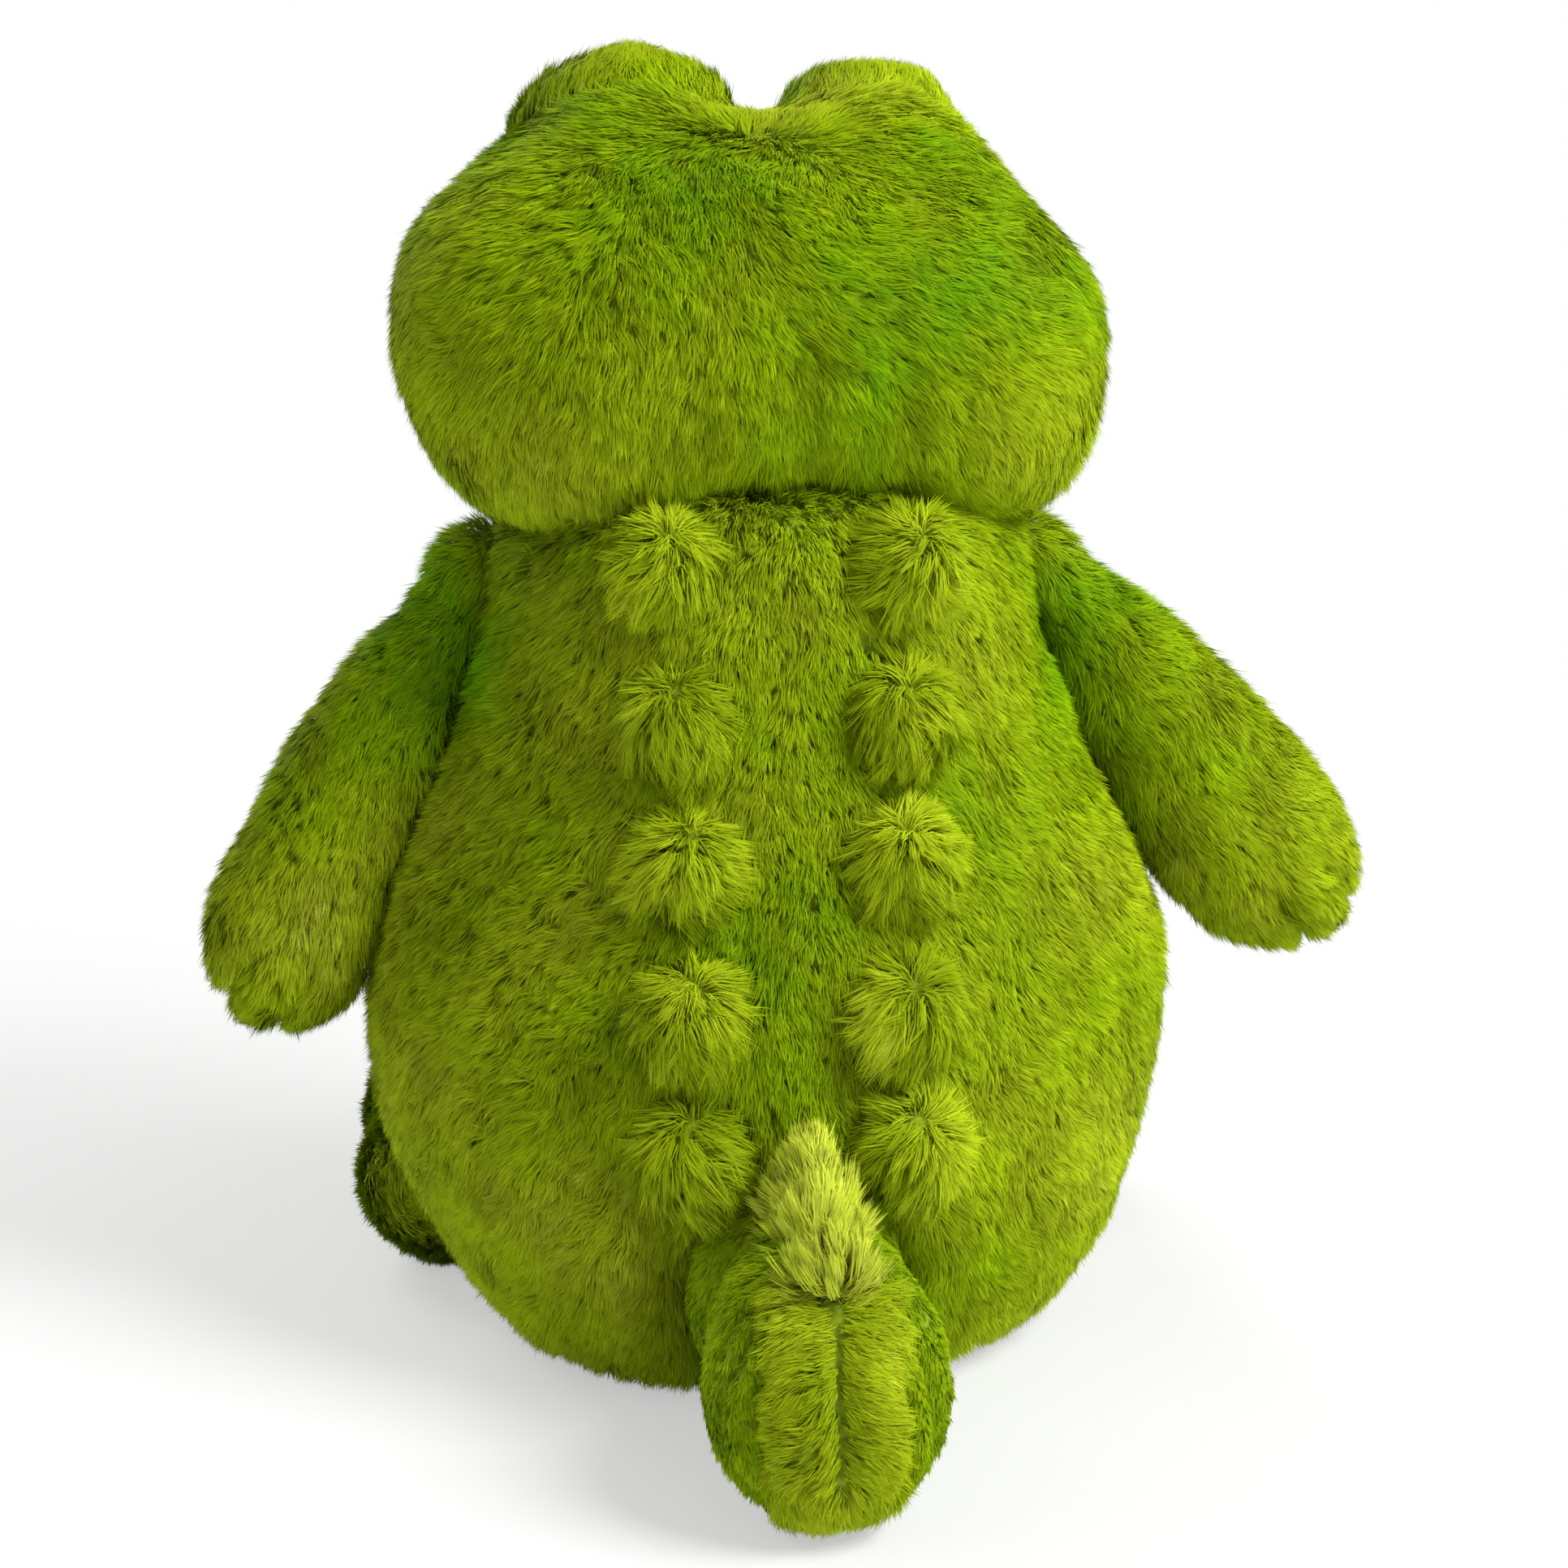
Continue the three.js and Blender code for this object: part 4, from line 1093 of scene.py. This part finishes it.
TAIL_STYLE = dict(length=4.6 * MM, density=6, lift=(40, 12), spread=1.4 * MM, stray=0.3 * MM, wander=0.7,
                  pull=np.array([0.0, 0.1, 0.2]))
PANEL_STYLE = dict(length=8 * MM, density=5, lift=(50, 16))


def on_panel(places, ways):
    """The panel on the tail's end."""
    edge = PANEL_SIDE * (1 + PANEL_WAVE * LOCKS(places))
    return (np.abs(places[:, 0]) < edge) & (ways[:, 1] > FACING_BACK) & (places[:, 2] < PANEL_TOP)


def on_seam(places, ways):
    return (np.abs(places[:, 0]) < SEAM_BARE) & (places[:, 2] > SEAM_END)


def tail_folds(places):
    """How near each place is to a fold around the tail's end."""
    sides = 1 - np.exp(-(places[:, 0] / PANEL_SIDE) ** PANEL_SHARPNESS) * (places[:, 2] < PANEL_TOP)
    along_tail = places[:, 1] + FOLD_WAVE * LOCKS(places)
    return sides * np.max([np.exp(-((along_tail - fold) / FOLD_WIDTH) ** 2) for fold in TAIL_FOLDS], axis=0)


def in_fold(places, ways):
    return tail_folds(places) > FOLD_BARE


def tail_shape(points, out):
    """Taller towards the trunk, with folds around the end's sides and a sewn line down its middle."""
    points = points + (DENT_HEIGHT * LOCKS(points))[:, None] * out
    height, middle_height = points[:, 2], tail_root[2]
    taller = middle_height + (height - middle_height) * (1 + np.interp(points[:, 1], *TAIL_TALLER))
    points[:, 2] = np.where(height > middle_height, taller, height)
    line = np.exp(-(points[:, 0] / SEAM_WIDTH) ** 2) * (out[:, 1] > SEAM_FACING) * (points[:, 2] > SEAM_END)
    return points - (FOLD_DEPTH * tail_folds(points) + SEAM_DEPTH * line)[:, None] * out


def panel_comb(places, ways):
    """Out from the sewn line to both sides."""
    flow = np.zeros_like(places)
    parted = np.clip((places[:, 2] - SEAM_END + PARTED_BELOW) / PARTED_SPAN, 0, 1)
    flow[:, 0] = np.sign(places[:, 0]) * parted
    flow[:, 2] = parted * PARTED_LIFT - 1
    return flow, PANEL_RUFFLE * LOCKS(places)


tail_root = joint_at("tail_wag")
tail = wrap("tail_cover", tail_root, tail_root + TAIL_LINE, *TAIL_GRID, shape=tail_shape)
cover("tail_cover", tail, "tail")
bare_sides = [inside(trunk, JOINT_OVERLAP), on_panel, in_fold]
flanks = grow(tail, along(TAIL_LIE), tail_hue, without=bare_sides, **TAIL_STYLE)
bare_end = [lambda places, ways: ~on_panel(places, ways), on_seam]
end = grow(tail, panel_comb, panel_hue, without=bare_end, **PANEL_STYLE)
pile("tail_pile", [flanks, end], "tail")


# Tail crest

CREST_ROWS = range(1, 4)
# The crest's shades are painted shade: dark at a tier's roots, under the tips of the tier above, and light
# at the tips
CREST_STYLE = dict(length=15 * MM, density=9, lift=(44, -2), spread=2.2 * MM, stray=0.9 * MM, wander=1.0,
                   lock=20, pull=SPIKE_PULL, vary=(0.75, 1.2), shades=np.array([0.56, 0.98, 1.36]))
CREST_GRID = (14, 18)
CREST_INSET = 3 * MM
CREST_PARTING = vec(0, 0.010, -0.012)  # from its middle
CREST_PULL = (0, -0.2, 0.15)
CREST_TAPER = (1.1, 0.45)  # share of the length at the bottom and at the top


def tapered(low, high):
    """Shorter towards the top."""
    return lambda places: np.interp(places[:, 2], (low, high), CREST_TAPER)


tufts = []
for row in CREST_ROWS:
    node = f"tail_crest_{row}"
    core = round_skin(node, middle(node), *CREST_GRID, CREST_INSET)
    cover(node, core, "tail")
    low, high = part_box(node)
    flow = away_from(middle(node) + CREST_PARTING, CREST_PULL)
    tufts.append(grow(core, flow, crest_hue, trim=tapered(low.z, high.z), **CREST_STYLE))
pile("tail_crest_pile", tufts, "tail")


# Fillings and washers

inner = wrap("tail_stuffing", tail_root, tail_root + TAIL_INNER_LINE, inset=INNER_INSET, shape=tail_shape)
filling("tail_stuffing", inner, "tail")
filling("trunk_stuffing", trunk_skin("trunk_stuffing", INNER_INSET, TRUNK_SPOTS), "trunk")
filling("head_stuffing", head_skin("head_stuffing", INNER_INSET), "head")
filling("snout_stuffing", snout_skin("snout_stuffing", INNER_INSET), "head")
pouch = round_skin("pellet_pouch", middle("pellet_pouch"), rings=32, sectors=48, inset=THIN_INSET,
                   shape=shaped([]))
filling("pellet_pouch", pouch, "trunk", POUCH)

# The washers keep their solids
for side in SIDES:
    washer = frame["nodes"][f"{side}_eye_washer"]
    washer.data.materials.clear()
    washer.data.materials.append(WASHER)


# Floor, light and camera

PAPER = (0.93, 0.93, 0.925, 1)
WHITE_FROM = 0.2  # from the toy, where plain white begins to take over, and where it has
WHITE_AT = 0.75
SKY_STRENGTH = 0.285
LAMPS = [  # name, place, size, power
    ("key", (-1.3, 1.1, 1.7), 1.2, 59),
    ("fill", (1.5, 0.8, 1.9), 1.2, 5),
    ("front", (1.0, -1.6, 1.2), 1.4, 21),
]


def seen_directly(tree):
    """A node and its output: 1 for rays from the camera, also by mirrors and through glass, else 0."""
    path = add(tree, "LightPath")
    seen = (path, "Is Camera Ray")
    for kind in ("Is Glossy Ray", "Is Transmission Ray"):
        either = add(tree, "Math")
        either.operation = "MAXIMUM"
        join(*seen, either, 0)
        join(path, kind, either, 1)
        seen = (either, 0)
    return seen


def make_floor():
    """Pale paper: it takes the toy's shadow near by and runs into plain white far away."""
    bpy.ops.mesh.primitive_plane_add(size=60)
    floor = bpy.context.object
    floor.name = "floor"
    material, tree, shader = new_material("floor_paper", roughness=0.9, shine=0.1)
    shader.inputs["Base Color"].default_value = PAPER
    place = add(tree, "TexCoord")
    far = add(tree, "VectorMath")
    far.operation = "LENGTH"
    share = add(tree, "MapRange", {"From Min": WHITE_FROM, "From Max": WHITE_AT, "To Min": 0.5})
    seen = add(tree, "Math")
    seen.operation = "MULTIPLY"
    glow = add(tree, "Emission")
    mix = add(tree, "MixShader")
    join(place, "Object", far, 0)
    join(far, "Value", share, "Value")
    join(*seen_directly(tree), seen, 0)
    join(share, "Result", seen, 1)
    join(seen, 0, mix, "Fac")
    join(shader, "BSDF", mix, 1)
    join(glow, "Emission", mix, 2)
    join(mix, "Shader", tree.nodes["Material Output"], "Surface")
    floor.data.materials.append(material)


def make_sky():
    """Even light all round, and plain white where it is seen."""
    world = bpy.data.worlds.new("studio")
    scene.world = world
    world.use_nodes = True
    tree = world.node_tree
    sky = tree.nodes["Background"]
    set_inputs(sky, {"Color": WHITE, "Strength": SKY_STRENGTH})
    paper = add(tree, "Background", {"Color": WHITE})
    mix = add(tree, "MixShader")
    join(*seen_directly(tree), mix, "Fac")
    join(sky, "Background", mix, 1)
    join(paper, "Background", mix, 2)
    join(mix, "Shader", tree.nodes["World Output"], "Surface")


def make_lamp(name, place, size, power):
    lamp = bpy.data.lights.new(name, "AREA")
    lamp.shape = "DISK"
    lamp.size = size
    lamp.energy = power
    made = placed(name, lamp)
    made.location = place
    made.rotation_euler = (CAMERA_TARGET - Vector(place)).to_track_quat("-Z", "Y").to_euler()


def make_camera():
    data = bpy.data.cameras.new("camera")
    data.sensor_width = SENSOR
    data.lens = SENSOR * CAMERA_DISTANCE * PIXELS_PER_METRE / IMAGE_SIDE
    data.shift_x = (IMAGE_SIDE / 2 - TARGET_PIXEL[0]) / IMAGE_SIDE
    data.shift_y = (TARGET_PIXEL[1] - IMAGE_SIDE / 2) / IMAGE_SIDE
    camera = placed("camera", data)
    camera.location = CAMERA_PLACE
    camera.rotation_euler = (-CAMERA_BACK).to_track_quat("-Z", "Y").to_euler()
    scene.camera = camera


make_floor()
make_sky()
for lamp in LAMPS:
    make_lamp(*lamp)
make_camera()
bpy.context.scene.view_settings.view_transform = "Standard"
